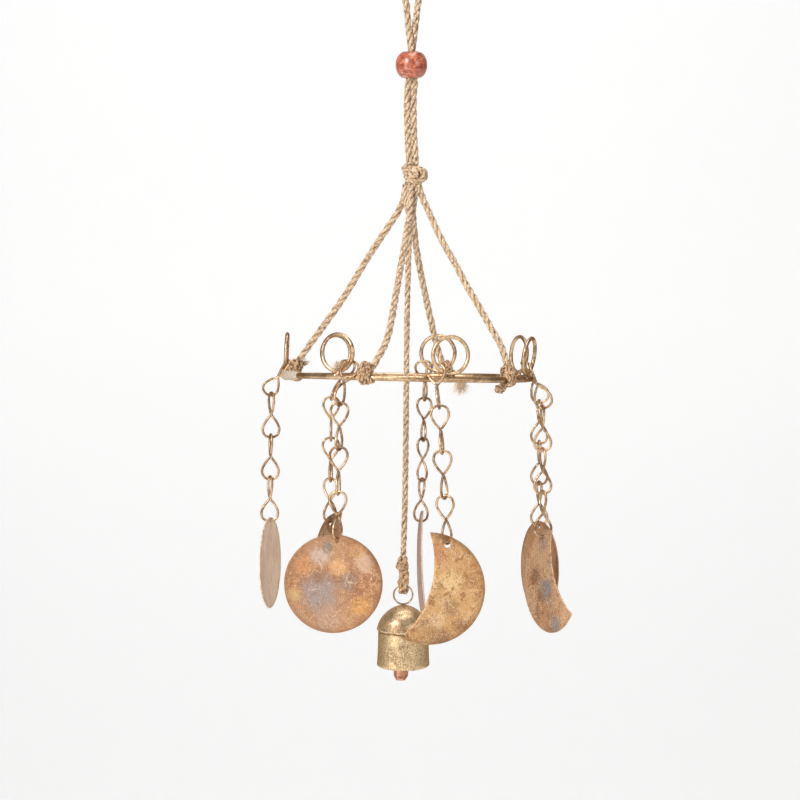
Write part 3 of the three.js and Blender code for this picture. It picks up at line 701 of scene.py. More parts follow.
def hair(bm, root, length, thick, dice):
    first = root @ Matrix.Translation((0, 0, length * 0.25))
    bmesh.ops.create_cone(bm, cap_ends=True, segments=3, radius1=thick, radius2=thick * 0.8, depth=length * 0.5,
                          matrix=first)
    bend = Matrix.Rotation(math.radians(dice.uniform(-60, 60)), 4, "X") @ Matrix.Rotation(math.radians(dice.uniform(-40, 40)), 4, "Y")
    second = root @ Matrix.Translation((0, 0, length * 0.49)) @ bend @ Matrix.Translation((0, 0, length * 0.25))
    bmesh.ops.create_cone(bm, cap_ends=True, segments=3, radius1=thick * 0.8, radius2=thick * 0.25, depth=length * 0.5,
                          matrix=second)


def frayed_end(bm, root, axis, length, spread, count, seed, width=0.9):
    """A tuft of loose fibres at a cut end of twine"""
    dice = random.Random(seed)
    axis = axis.normalized()
    base = Vector((0, 0, 1)).rotation_difference(axis).to_matrix().to_4x4()
    for _ in range(count):
        tilt = Matrix.Rotation(math.radians(dice.gauss(0, spread)), 4, "X") @ Matrix.Rotation(math.radians(dice.gauss(0, spread)), 4, "Y")
        off = Vector((dice.uniform(-width, width), dice.uniform(-0.9, 0.9), 0)) * MM
        hair(bm, Matrix.Translation(root) @ base @ Matrix.Translation(off) @ tilt, length * dice.uniform(0.4, 1.05),
             dice.uniform(0.00008, 0.00017), dice)


def loops_round(axis_point, axis, start, radius, turns, advance, count=28, wobble=0.0):
    """Points of a coil round an axis, for the wraps of a knot"""
    axis = axis.normalized()
    side = (start - axis * start.dot(axis)).normalized()
    over = axis.cross(side)
    steps = max(6, int(count * turns))
    points = []
    for i in range(steps + 1):
        a = 2 * math.pi * turns * i / steps
        shift = advance * (i / steps - 0.5) * turns
        r = radius * (1 + wobble * math.sin(a * 0.7 + 1.3))
        points.append(axis_point + side * (math.cos(a) * r) + over * (math.sin(a) * r) + axis * shift)
    return points


class MOBILE_OT_stage(bpy.types.Operator):
    """Makes the backdrop, the floor, the lights and the camera"""
    bl_idname = "mobile.stage"
    bl_label = "Stage"

    def execute(self, context):
        scene = context.scene
        scene.view_settings.view_transform = "Standard"
        paper = Finish("backdrop_paper", None)
        paper.shade(tuple(settings("mobile_stage").backdrop), 0.9, 0.0,
                    constants={"Emission Color": (1.0, 0.995, 0.99), "Emission Strength": 0.22})
        bm = bmesh.new()
        edge = bmesh.ops.create_grid(bm, x_segments=1, y_segments=1, size=1.0)["verts"]
        bmesh.ops.delete(bm, geom=[v for v in edge if v.co.y < 0], context="VERTS")
        bmesh.ops.transform(bm, matrix=Matrix.Translation((0, -3.4, -0.80)) @ Matrix.Diagonal((3.2, 1, 1, 1)), verts=bm.verts[:])
        profile = [(-2.4, -0.80), (2.2, -0.80)]
        profile += [(2.2 + 0.6 * math.sin(math.radians(a)), -0.2 - 0.6 * math.cos(math.radians(a))) for a in range(10, 91, 10)]
        profile += [(2.8, 2.2)]
        edges = bm.edges[:]
        here = Vector((0, -2.4, -0.80))
        for y, z in profile[1:]:
            grown = bmesh.ops.extrude_edge_only(bm, edges=edges)["geom"]
            edges = [g for g in grown if isinstance(g, bmesh.types.BMEdge)]
            verts = [g for g in grown if isinstance(g, bmesh.types.BMVert)]
            bmesh.ops.translate(bm, vec=Vector((0, y, z)) - here, verts=verts)
            here = Vector((0, y, z))
        mesh = bpy.data.meshes.new("backdrop")
        bm.to_mesh(mesh)
        bm.free()
        mesh.polygons.foreach_set("use_smooth", [True] * len(mesh.polygons))
        mesh.materials.append(paper.material)
        backdrop = bpy.data.objects.new("backdrop", mesh)
        scene.collection.objects.link(backdrop)

        world = bpy.data.worlds.new("studio")
        scene.world = world
        world.use_nodes = True
        background = world.node_tree.nodes["Background"]
        background.inputs["Color"].default_value = (0.80, 0.80, 0.82, 1)
        background.inputs["Strength"].default_value = 0.17
        for name, place, size, power in (
            ("key", (-1.1, -1.5, 0.75), 0.8, 36.0),
            ("fill", (1.3, -1.5, 0.25), 0.8, 9.5),
            ("low", (-1.15, -1.35, -0.45), 0.7, 6.0),
            ("top", (0.1, -0.1, 1.3), 1.0, 12.0),
            ("backdrop_light", (0.0, 1.5, 1.6), 1.6, 14.0),
        ):
            light = bpy.data.lights.new(name, "AREA")
            light.size = size
            light.energy = power
            lamp = bpy.data.objects.new(name, light)
            scene.collection.objects.link(lamp)
            lamp.location = place
            aim = Vector((0, 2.8, -0.3)) if name == "backdrop_light" else CAMERA_TARGET
            lamp.rotation_euler = (aim - Vector(place)).to_track_quat("-Z", "Y").to_euler()

        view = bpy.data.cameras.new("camera")
        view.lens = 153.75
        view.sensor_width = 36.0
        view.clip_end = 20.0
        camera = bpy.data.objects.new("camera", view)
        scene.collection.objects.link(camera)
        camera.location = CAMERA_TARGET + Vector((0, -math.cos(CAMERA_PITCH), math.sin(CAMERA_PITCH))) * CAMERA_DISTANCE
        camera.rotation_euler = Euler((math.pi / 2 - CAMERA_PITCH, 0, 0))
        scene.camera = camera
        return {"FINISHED"}


class MOBILE_OT_cords(bpy.types.Operator):
    """Makes the hanging loop, the four suspension cords and the bell's cord as twisted twine"""
    bl_idname = "mobile.cords"
    bl_label = "Cords"

    def execute(self, context):
        twine = settings("mobile_cord")
        finish = jute_finish("jute_twine", twine)
        routes = {"hanging_loop": (LOOP_ROUTE, CORD_DIAMETER)}
        routes.update({f"suspension_cord_{k}": (v, CORD_DIAMETER) for k, v in SUSPENSION_ROUTES.items()})
        routes["bell_cord"] = (BELL_CORD_ROUTE, BELL_CORD_DIAMETER)
        for number, (name, (route, diameter)) in enumerate(routes.items()):
            points = smooth_route([in_metres(p) for p in route], 60)
            bm = bmesh.new()
            rope(bm, points, diameter * MM * 1.12, twine.pitch, phase=number * 1.3)
            outward(bm)
            cord = finished_piece(bm, f"{name}_twine", finish, (name,))
            path_length(points)
            diameter * MM
            "hanging" if name == "bell_cord" else "taut"
        return {"FINISHED"}


class MOBILE_OT_fibres(bpy.types.Operator):
    """Makes the loose fibres along the twine and the frayed ends at the knots"""
    bl_idname = "mobile.fibres"
    bl_label = "Loose fibres"

    def execute(self, context):
        twine = settings("mobile_cord")
        finish = jute_finish("jute_fibres", twine)
        cords = {"loop": (LOOP_ROUTE, CORD_DIAMETER), "bell_cord": (BELL_CORD_ROUTE, BELL_CORD_DIAMETER)}
        cords.update({name: (route, CORD_DIAMETER) for name, route in SUSPENSION_ROUTES.items()})
        for seed, (name, (route, diameter)) in enumerate(cords.items()):
            points = smooth_route([in_metres(p) for p in route], 400)
            bm = bmesh.new()
            hairs(bm, points, diameter * MM / 2, twine.hair_spacing, seed + 3)
            finished_piece(bm, f"loose_fibres_{name}", finish, smooth=False)
        bm = bmesh.new()
        for seed, (angle, size, lift) in enumerate(HOOP_KNOTS.values()):
            seat = in_metres(hoop_point(angle)) + Vector((0, 0, lift * MM))
            column = [seat + Vector((0, 0, (i / 20 - 0.5) * 2 * size[2] * MM * 0.8)) for i in range(21)]
            hairs(bm, column, size[1] * MM, twine.hair_spacing * 0.35, seed + 20)
        knot = Vector(TOP_KNOT_CENTRE) * MM
        hairs(bm, [knot + Vector((0, 0, z * MM / 4)) for z in range(-22, 23)], 6.9 * MM, twine.hair_spacing * 0.25, 31)
        hairs(bm, [Vector((-5.7, 0, -379 + i)) * MM for i in range(16)], 3.4 * MM, twine.hair_spacing * 0.5, 32)
        left = in_metres(hoop_point(157)) + Vector((0.004, 0.004, 0.006))
        frayed_end(bm, left, Vector((0.5, 0.2, 1)), 0.006, 24, 80, 41)
        back = in_metres(hoop_point(64)) + Vector((0, 0, -0.0006))
        frayed_end(bm, back, Vector((0.12, 0, -1)), 0.0130, 11, 300, 42, 2.2)
        frayed_end(bm, in_metres(hoop_point(250)) + Vector((-0.0145, 0.004, 0.0065)), Vector((-1, 0, 0.25)), 0.0060, 24, 120, 43)
        finished_piece(bm, "loose_fibres_knots", finish, smooth=False)
        bm = bmesh.new()
        husk = Finish("dark_husk", "jute")
        husk.shade((0.045, 0.02, 0.015), 0.7, 0.0)
        lump(bm, (0.0010, 0.0008, 0.0007), Matrix.Translation(Vector((48.4, -36.6, -224.6)) * MM), 0.0003, 900.0, 12, 8)
        finished_piece(bm, "dark_husk", husk)
        return {"FINISHED"}


class MOBILE_OT_knots(bpy.types.Operator):
    """Makes the knot under the bead, the four knots on the hoop and the one on the bell's ring"""
    bl_idname = "mobile.knots"
    bl_label = "Knots"

    def execute(self, context):
        twine = settings("mobile_cord")
        finish = jute_finish("jute_knots", twine, 0.2)
        # Darker, more orange jute for the hoop and bell-cord knots; its deep colour is painted shade between the
        # strands and its tangle share paints more shade inside the knots.
        dark_orange = jute_finish("jute_worn_knots", twine, 0.3, (0.72, 0.42, 0.19), (0.27, 0.125, 0.045))
        pitch = twine.pitch * 0.75
        up = Vector((0, 0, 1))

        bm = bmesh.new()
        centre = Vector(TOP_KNOT_CENTRE) * MM
        lump(bm, (0.0046, 0.0044, 0.0054), Matrix.Translation(centre), 0.0003)
        roll = loops_round(centre + Vector((-0.0016, 0, 0.0002)), Vector((-0.34, 0.1, 1)), Vector((0.3, -1, 0)), 0.0029, 4.2,
                           0.0027, wobble=0.04)
        rope(bm, roll, 0.0030, pitch)
        bight = loops_round(centre + Vector((0.0040, -0.0012, -0.0002)), Vector((0.5, 1, 0.1)), Vector((0, 0, 1)), 0.0033, 1.7,
                            0.0022, wobble=0.06)
        rope(bm, bight, 0.0031, pitch, phase=1)
        lump(bm, (0.0026, 0.0018, 0.0026), Matrix.Translation(centre + Vector((0.0044, 0.0006, 0))), 0.0003)
        collar = loops_round(centre + Vector((0.0004, 0, -0.0046)), Vector((0.25, 0, 1)), Vector((1, 0, 0)), 0.0036, 1.3, 0.001)
        rope(bm, collar, 0.0028, pitch, phase=2)
        for tail in (
            ((-3.0, -1.4, -135.5), (-3.7, -2.6, -140.5), (-3.4, -4.2, -146), (-2.4, -7.4, -153)),
            ((1.6, -2.2, -135.5), (2.0, -3.2, -141), (1.5, -4.8, -147), (0.0, -8.0, -153)),
            ((-1.0, 2.4, -135.5), (-1.6, 1.8, -142), (-1.6, 0.8, -149), (-1.6, 0.4, -156)),
            ((2.4, 0.4, -122.0), (1.9, 0.3, -124.5), (1.4, 0.2, -127)), ((-1.6, 0.2, -122.0), (-1.4, 0.2, -124.5), (-1.2, 0.2, -127)),
        ):
            rope(bm, [in_metres(p) for p in tail], 0.0031, twine.pitch, phase=tail[0][0])
        outward(bm)
        finished_piece(bm, "top_knot_twine", finish, ("top_knot",))

        for number, (name, (angle, size, lift)) in enumerate(HOOP_KNOTS.items()):
            bm = bmesh.new()
            seat = in_metres(hoop_point(angle))
            along = Vector((-math.sin(math.radians(angle)), math.cos(math.radians(angle)), 0))
            out = Vector((math.cos(math.radians(angle)), math.sin(math.radians(angle)), 0))
            middle = seat + up * lift * MM
            low = name == "left"
            wraps = loops_round(seat, along + up * 0.12, up, 0.0026 if low else 0.0030, 2.7, 0.0026, wobble=0.08)
            rope(bm, wraps, 0.0020 if low else 0.0026, pitch, phase=number)
            if low:
                tangle(bm, seat + Vector((-0.0046, -0.002, 0.0034)), (0.0036, 0.003, 0.0028), 9, 0.0021, pitch, 59)
            crown = middle + up * 0.0016
            turn = Matrix((along, out, up)).transposed().to_4x4()
            lump(bm, (size[0] * 0.52 * MM, size[1] * 0.52 * MM, size[2] * 0.55 * MM), Matrix.Translation(crown) @ turn, 0.0004)
            tangle(bm, crown, tuple(s * MM * 0.66 for s in (size[0], size[1], size[2] * 0.92)), 9, 0.0023, pitch, 60 + number)
            end = SUSPENSION_ROUTES[name]
            lead = in_metres(end[-1]) + (in_metres(end[-1]) - in_metres(end[-2])).normalized() * 0.0022
            rope(bm, [in_metres(end[-1]).lerp(in_metres(end[-2]), 0.25), in_metres(end[-1]), lead, crown], CORD_DIAMETER * MM * 0.95,
                 pitch, phase=number)
            if name == "right":
                knob = Vector((51.4, -43.4, -257.6)) * MM
                lump(bm, (0.0028, 0.0026, 0.0024), Matrix.Translation(knob), 0.0002)
                tangle(bm, knob, (0.0030, 0.0026, 0.0025), 8, 0.0019, pitch, 71)
                rope(bm, [knob, knob + Vector((0.0016, 0.001, 0.003)), seat + Vector((-0.002, 0, 0.001))], 0.0024, pitch)
            outward(bm)
            finished_piece(bm, f"hoop_knot_{name}_twine", dark_orange, (f"hoop_knot_{name}",))

        bm = bmesh.new()
        body = [(-5.5, 0.2, -360.6), (-5.2, 0.1, -366), (-4.9, 0, -372), (-5.0, 0, -377), (-5.3, 0, -380.2)]
        rope(bm, [in_metres(p) for p in body], 0.0060, 2.3, fullness=1.2)
        bulge = Vector((-6.9, -1.4, -364.9)) * MM
        lump(bm, (0.0023, 0.0020, 0.0024), Matrix.Translation(bulge), 0.0003)
        rope(bm, loops_round(bulge, Vector((0.5, 1, 0.5)), up, 0.0019, 1.6, 0.0016, wobble=0.05), 0.0026, pitch)
        eye = Vector(BELL_CROWN) * MM + up * (2 * BELL_RING_RADIUS + BELL_RING_WIRE / 2 + GAP) * MM
        rope(bm, loops_round(eye, Vector((1, 0.15, 0)), up, 0.0021, 1.9, 0.0026), 0.0025, pitch)
        outward(bm)
        finished_piece(bm, "bell_cord_knot_twine", dark_orange, ("bell_cord_knot",))
        return {"FINISHED"}


class MOBILE_OT_hoop(bpy.types.Operator):
    """Makes the bent brass hoop"""
    bl_idname = "mobile.hoop"
    bl_label = "Hoop"

    def execute(self, context):
        finish = wire_finish("brass_hoop", "brass_wire", settings("mobile_wire"), 0.46, 0.4, 0.75)
        bm = bmesh.new()
        torus(bm, HOOP_RADIUS, HOOP_WIRE, 18, 160, Matrix.Rotation(math.pi / 2, 4, "X"))
        for vert in bm.verts:
            vert.co.z += hoop_rise(vert.co.x, vert.co.y) + 0.10 * noise.noise(Vector((vert.co.x, vert.co.y, 0)) * 0.05)
        bmesh.ops.transform(bm, matrix=Matrix.Scale(MM, 4) @ Matrix.Translation(HOOP_CENTRE), verts=bm.verts[:])
        outward(bm)
        finished_piece(bm, "hoop_wire", finish, ("hoop",))
        return {"FINISHED"}


class MOBILE_OT_hanger_rings(bpy.types.Operator):
    """Makes the seven hanger rings and the braze at their feet"""
    bl_idname = "mobile.hanger_rings"
    bl_label = "Hanger rings"

    def execute(self, context):
        wire = settings("mobile_wire")
        finish = wire_finish("brass_ring", "brass_wire", wire, 0.52, 0.35)
        braze = wire_finish("braze", "brass_wire", wire, 0.46, 0.9)
        for number, string in enumerate(STRINGS, 1):
            stand = Matrix.Scale(MM, 4) @ ring_stand(string)
            bm = bmesh.new()
            torus(bm, RING_RADIUS, RING_WIRE, 16, 72, stand @ Matrix.Translation((0, 0, RING_LIFT)))
            outward(bm)
            finished_piece(bm, f"hanger_ring_{number}_wire", finish, (f"hanger_ring_{number}",))
            bm = bmesh.new()
            foot = stand @ Matrix.Translation((0, 0, HOOP_WIRE / 2 + 0.2))
            lump(bm, (2.6, 1.5, 1.25), foot, 0.00035, 900.0)
            lump(bm, (1.5, 1.75, 1.6), foot @ Matrix.Translation((1.2, 0, -1.1)), 0.0003, 800.0)
            finished_piece(bm, f"braze_{number}", braze)
        bm = bmesh.new()
        along = Matrix.Rotation(math.radians(100), 4, "Z")
        further = Matrix.Rotation(math.radians(114), 4, "Z")
        lump(bm, (10.0, 3.0, 2.95), Matrix.Scale(MM, 4) @ Matrix.Translation(hoop_point(190)) @ along, 0.0005, 400.0)
        lump(bm, (10.0, 2.95, 2.75), Matrix.Scale(MM, 4) @ Matrix.Translation(hoop_point(202)) @ further, 0.0006, 500.0)
        finished_piece(bm, "solder_1", solder_finish())
        return {"FINISHED"}


class MOBILE_OT_chains(bpy.types.Operator):
    """Makes the twisted wire links of the seven chains"""
    bl_idname = "mobile.chains"
    bl_label = "Chains"

    def execute(self, context):
        wire = settings("mobile_wire")
        finish = wire_finish("chain_wire", "chain_wire", wire, 0.50, 0.3)
        for number, string in enumerate(STRINGS, 1):
            links, _ = string_layout(string)
            for place, (matrix, size) in enumerate(links, 1):
                bm = bmesh.new()
                route = [(Matrix.Scale(MM, 4) @ matrix) @ p for p in link_points(size)]
                sweep(bm, smooth_route(route, 84), LINK_WIRE * MM * 0.575, wire.sides)
                outward(bm)
                finished_piece(bm, f"chain_{number}_link_{place}_wire", finish, (f"chain_{number}_link_{place}",))
        return {"FINISHED"}


def sheet_outline(moon):
    """A function from the unit square to the flat moon, with its hole at the origin; x and z in millimetres"""
    if moon["kind"] == "disc":
        middle = Vector((0, -(moon["radius"] - moon["edge"])))

        def disc(u, v):
            a = 2 * math.pi * u
            return middle + Vector((math.cos(a), math.sin(a))) * moon["radius"] * (1 - v)
        return disc
    radius, sag = moon["radius"], moon["sag"]
    centre = -Vector(moon["hole"])
    start, end = (math.radians(a) for a in moon["tips"])
    tip = lambda a: Vector((math.cos(a), math.sin(a))) * radius + centre
    upper, lower = tip(start), tip(end)
    chord = (upper - lower).length / 2
    hollow = (chord * chord + sag * sag) / (2 * sag)
    along = (upper - lower).normalized()
    hollow_centre = (upper + lower) / 2 + Vector((-along.y, along.x)) * (hollow - sag)
    bearing = lambda p: math.atan2(p.y - hollow_centre.y, p.x - hollow_centre.x)
    first, last = bearing(upper), bearing(lower)

    def crescent(u, v):
        outer = tip(start + (end - start) * u)
        b = first + (last - first) * u
        inner = hollow_centre + Vector((math.cos(b), math.sin(b))) * hollow
        return outer.lerp(inner, v)
    return crescent


def sheet_moon(bm, moon, across, rings, dish):
    """A dished sheet with its hole cut and its edges rounded, standing in the XZ plane, in millimetres"""
    outline = sheet_outline(moon)
    bmesh.ops.create_grid(bm, x_segments=across, y_segments=rings, size=0.5)
    for vert in bm.verts:
        flat = outline(vert.co.x + 0.5, vert.co.y + 0.5)
        vert.co = Vector((flat.x, 0, flat.y))
    bmesh.ops.remove_doubles(bm, verts=bm.verts[:], dist=0.02)
    for reach in (4.6, 3.4):
        near = [e for e in bm.edges if all(v.co.length < HOLE_RADIUS + reach for v in e.verts)]
        bmesh.ops.subdivide_edges(bm, edges=near, cuts=1, use_grid_fill=True)
    edge = {v for e in bm.edges if e.is_boundary for v in e.verts}
    inside = [g for g in bm.faces if g.calc_center_median().length < HOLE_RADIUS]
    bmesh.ops.delete(bm, geom=inside, context="FACES")
    rim = {v for e in bm.edges if e.is_boundary for v in e.verts} - edge
    for vert in rim:
        vert.co = vert.co.normalized() * HOLE_RADIUS
    bmesh.ops.remove_doubles(bm, verts=list(rim), dist=0.08)
    middle = Vector((-moon["hole"][0], 0, -moon["hole"][1])) if moon["kind"] == "crescent" else Vector((0, 0, moon["edge"] - moon["radius"]))
    seed = Vector((moon["heading"], moon["radius"], 0.0))
    for vert in bm.verts:
        away = (vert.co - middle).length / moon["radius"]
        bulge = dish * (1 - away * away)
        vert.co.y += bulge + 0.10 * noise.noise(vert.co * 0.16 + seed) + 0.05 * noise.noise(vert.co * 0.45 + seed)
    bmesh.ops.recalc_face_normals(bm, faces=bm.faces[:])
    bmesh.ops.solidify(bm, geom=bm.faces[:], thickness=SHEET)
    rise = sum(v.co.y for v in bm.verts) / len(bm.verts)
    bmesh.ops.translate(bm, vec=(0, -rise, 0), verts=bm.verts[:])
    bmesh.ops.recalc_face_normals(bm, faces=bm.faces[:])
    sharp = [e for e in bm.edges if e.is_manifold and e.calc_face_angle() > math.radians(55)]
    bmesh.ops.bevel(bm, geom=sharp, offset=settings("mobile_moon").rim / MM, segments=2, profile=0.5, affect="EDGES",
                    material=-1)


def moon_finishes(matrices):
    """One patina for each moon, with its patches set on its own sheet and its painted rim shade centred on it"""
    def at(number, x, z):
        return tuple(matrices[number] @ Vector((x * MM, 0, z * MM)))

    def patina(number, *tones, slot="copper_sheet", patches=(), **rest):
        moon = STRINGS[number - 1]["moon"]
        # x and z are the moon's middle, where the painted rim shade is centred.
        x, z = (-p for p in moon["hole"]) if moon["kind"] == "crescent" else (0, moon["edge"] - moon["radius"])
        placed = [(at(number, px, pz), size * MM, tint, amount) for px, pz, size, tint, amount in patches]
        return sheet_finish(f"moon_{number}_patina", slot, *tones, placed, outer=(at(number, x, z), moon["radius"] * MM), **rest)

    rust, pink, amber = (0.56, 0.25, 0.12), (0.72, 0.47, 0.37), (0.80, 0.50, 0.24)
    slate, dark = (0.40, 0.32, 0.29), (0.22, 0.10, 0.055)
    return {
        1: patina(1, (0.92, 0.68, 0.50), (0.78, 0.53, 0.37), (0.84, 0.65, 0.52), (0.96, 0.74, 0.54), grain=0.7, spots=0.3, seed=0.31,
                  metal=0.08, fleck=0.7),
        2: patina(2, rust, dark, slate, amber, spots=0.6, seed=0.52),
        3: patina(3, (0.56, 0.30, 0.17), (0.44, 0.20, 0.10), (0.48, 0.33, 0.27), (0.70, 0.39, 0.19), patches=(
            (-8.0, -31.0, 15.0, (0.42, 0.33, 0.30), 0.95), (8.0, -24.0, 8.0, (0.38, 0.27, 0.22), 0.8),
            (-9.0, -23.0, 5.0, (0.36, 0.19, 0.10), 0.6), (2.0, -22.5, 5.0, (0.38, 0.20, 0.10), 0.6),
            (-2.0, -46.0, 10.0, (0.58, 0.38, 0.27), 0.7), (17.0, -37.0, 8.0, (0.76, 0.38, 0.13), 0.9),
            (-18.0, -16.0, 8.0, (0.72, 0.34, 0.15), 0.75), (2.0, -15.5, 7.0, (0.90, 0.50, 0.22), 0.75),
            (16.0, -12.0, 8.0, (0.84, 0.60, 0.42), 0.6), (-9.0, -10.5, 7.5, (0.72, 0.54, 0.45), 0.85),
            (-22.0, -33.0, 6.0, (0.74, 0.48, 0.20), 0.6), (12.0, -5.5, 6.0, (0.74, 0.42, 0.20), 0.6),
            (-5.3, -4.5, 4.6, (0.30, 0.24, 0.20), 0.95)), spots=0.45, seed=0.13, fleck=0.5, pits=0.3),
        4: patina(4, (0.62, 0.49, 0.45), (0.48, 0.38, 0.35), slate, pink, grain=0.3, spots=0.25, seed=0.74),
        5: patina(5, (0.68, 0.39, 0.17), (0.54, 0.28, 0.115), (0.58, 0.35, 0.18), (0.84, 0.56, 0.27), slot="brass_sheet", patches=(
            (2.0, -22.0, 9.0, (0.95, 0.68, 0.34), 0.6), (3.0, -36.0, 6.5, (0.36, 0.20, 0.09), 0.6),
            (-3.0, -54.0, 8.0, dark, 0.65), (-11.0, -49.0, 8.0, (0.42, 0.22, 0.10), 0.65), (8.0, -47.0, 6.0, dark, 0.55),
            (-6.0, -44.0, 6.0, (0.84, 0.55, 0.34), 0.6), (-7.0, -5.0, 9.0, (0.60, 0.27, 0.13), 0.8)), spots=0.6, seed=0.27,
                  fleck=0.65, pits=0.7),
        6: patina(6, (0.78, 0.47, 0.29), (0.66, 0.36, 0.20), pink, amber, spots=0.35, seed=0.61),
        # Moon 7 takes only a little of the painted rim shade (edge 0.15).
        7: patina(7, (0.76, 0.46, 0.27), (0.60, 0.31, 0.16), (0.60, 0.43, 0.35), (0.92, 0.62, 0.36), patches=(
            (-5.0, -31.0, 10.0, (0.34, 0.32, 0.33), 1.0), (-15.0, -51.0, 8.5, (0.36, 0.33, 0.34), 0.9),
            (7.5, -24.0, 8.0, (0.24, 0.11, 0.06), 0.8), (2.0, -34.0, 7.0, dark, 0.7), (5.0, -44.0, 5.0, dark, 0.5),
            (-1.0, -3.0, 7.0, (0.46, 0.30, 0.26), 0.8)), spots=0.6, seed=0.44, metal=0.6, edge=0.15,
                  fleck=1.2, pits=0.6),
    }


class MOBILE_OT_moons(bpy.types.Operator):
    """Makes the seven moons of hammered sheet, each with its own patina"""
    bl_idname = "mobile.moons"
    bl_label = "Moons"

    def execute(self, context):
        dish = settings("mobile_moon").dish / MM
        places = {n: Matrix.Scale(MM, 4) @ moon_matrix(s, string_layout(s)[1]) for n, s in enumerate(STRINGS, 1)}
        unscaled = {n: m @ Matrix.Scale(1 / MM, 4) for n, m in places.items()}
        finishes = moon_finishes(unscaled)
        for number, string in enumerate(STRINGS, 1):
            moon = string["moon"]
            bm = bmesh.new()
            across, rings = (128, 18) if moon["kind"] == "disc" else (96, 14)
            sheet_moon(bm, moon, across, rings, dish)
            bmesh.ops.transform(bm, matrix=places[number], verts=bm.verts[:])
            finished_piece(bm, f"moon_{number}_sheet", finishes[number], (f"moon_{number}_{moon['kind']}",))
        return {"FINISHED"}


class MOBILE_OT_bead(bpy.types.Operator):
    """Makes the turned wooden bead"""
    bl_idname = "mobile.bead"
    bl_label = "Bead"

    def execute(self, context):
        bm = bmesh.new()
        bore = BEAD_BORE / 2
        arc = 28
        start = bmesh.ops.create_vert(bm, co=(bore, 0, -BEAD_HEIGHT / 2))["vert"][0]
        tip = start
        for i in range(1, arc + 1):
            a = -math.pi / 2 + math.pi * i / arc
            swell = max(math.cos(a), 0.0)
            goal = Vector((bore + (BEAD_DIAMETER / 2 - bore) * swell, 0, BEAD_HEIGHT / 2 * math.sin(a)))
            grown = bmesh.ops.extrude_vert_indiv(bm, verts=[tip])["verts"][0]
            grown.co = goal
            tip = grown
        lip = bmesh.ops.extrude_vert_indiv(bm, verts=[tip])["verts"][0]
        lip.co = Vector((bore - 0.15, 0, BEAD_HEIGHT / 2 - 0.5))
        wall = bmesh.ops.extrude_vert_indiv(bm, verts=[lip])["verts"][0]
        wall.co = Vector((bore - 0.15, 0, -BEAD_HEIGHT / 2 + 0.5))
        closing = bmesh.ops.extrude_vert_indiv(bm, verts=[wall])["verts"][0]
        closing.co = start.co
        turn_profile(bm, 64)
        bmesh.ops.transform(bm, matrix=Matrix.Scale(MM, 4) @ Matrix.Translation(BEAD_CENTRE), verts=bm.verts[:])
        outward(bm)
        finished_piece(bm, "bead_turned", bead_finish(), ("bead",))
        return {"FINISHED"}


def turn_profile(bm, steps):
    """Spins the profile round Z into a closed shape"""
    bmesh.ops.remove_doubles(bm, verts=bm.verts[:], dist=1e-5)
    bmesh.ops.spin(bm, geom=bm.verts[:] + bm.edges[:], cent=(0, 0, 0), axis=(0, 0, 1), angle=2 * math.pi, steps=steps,
                   use_merge=True)
    bmesh.ops.remove_doubles(bm, verts=bm.verts[:], dist=1e-5)


def profile_line(bm, points):
    """A chain of edges through (radius, height) points"""
    tip = bmesh.ops.create_vert(bm, co=(points[0][0], 0, points[0][1]))["vert"][0]
    for radius, height in points[1:]:
        grown = bmesh.ops.extrude_vert_indiv(bm, verts=[tip])["verts"][0]
        grown.co = Vector((radius, 0, height))
        tip = grown


def bell_matrix():
    return Matrix.Scale(MM, 4) @ Matrix.Translation(BELL_CROWN) @ Matrix.Rotation(math.radians(BELL_TILT), 4, "X")


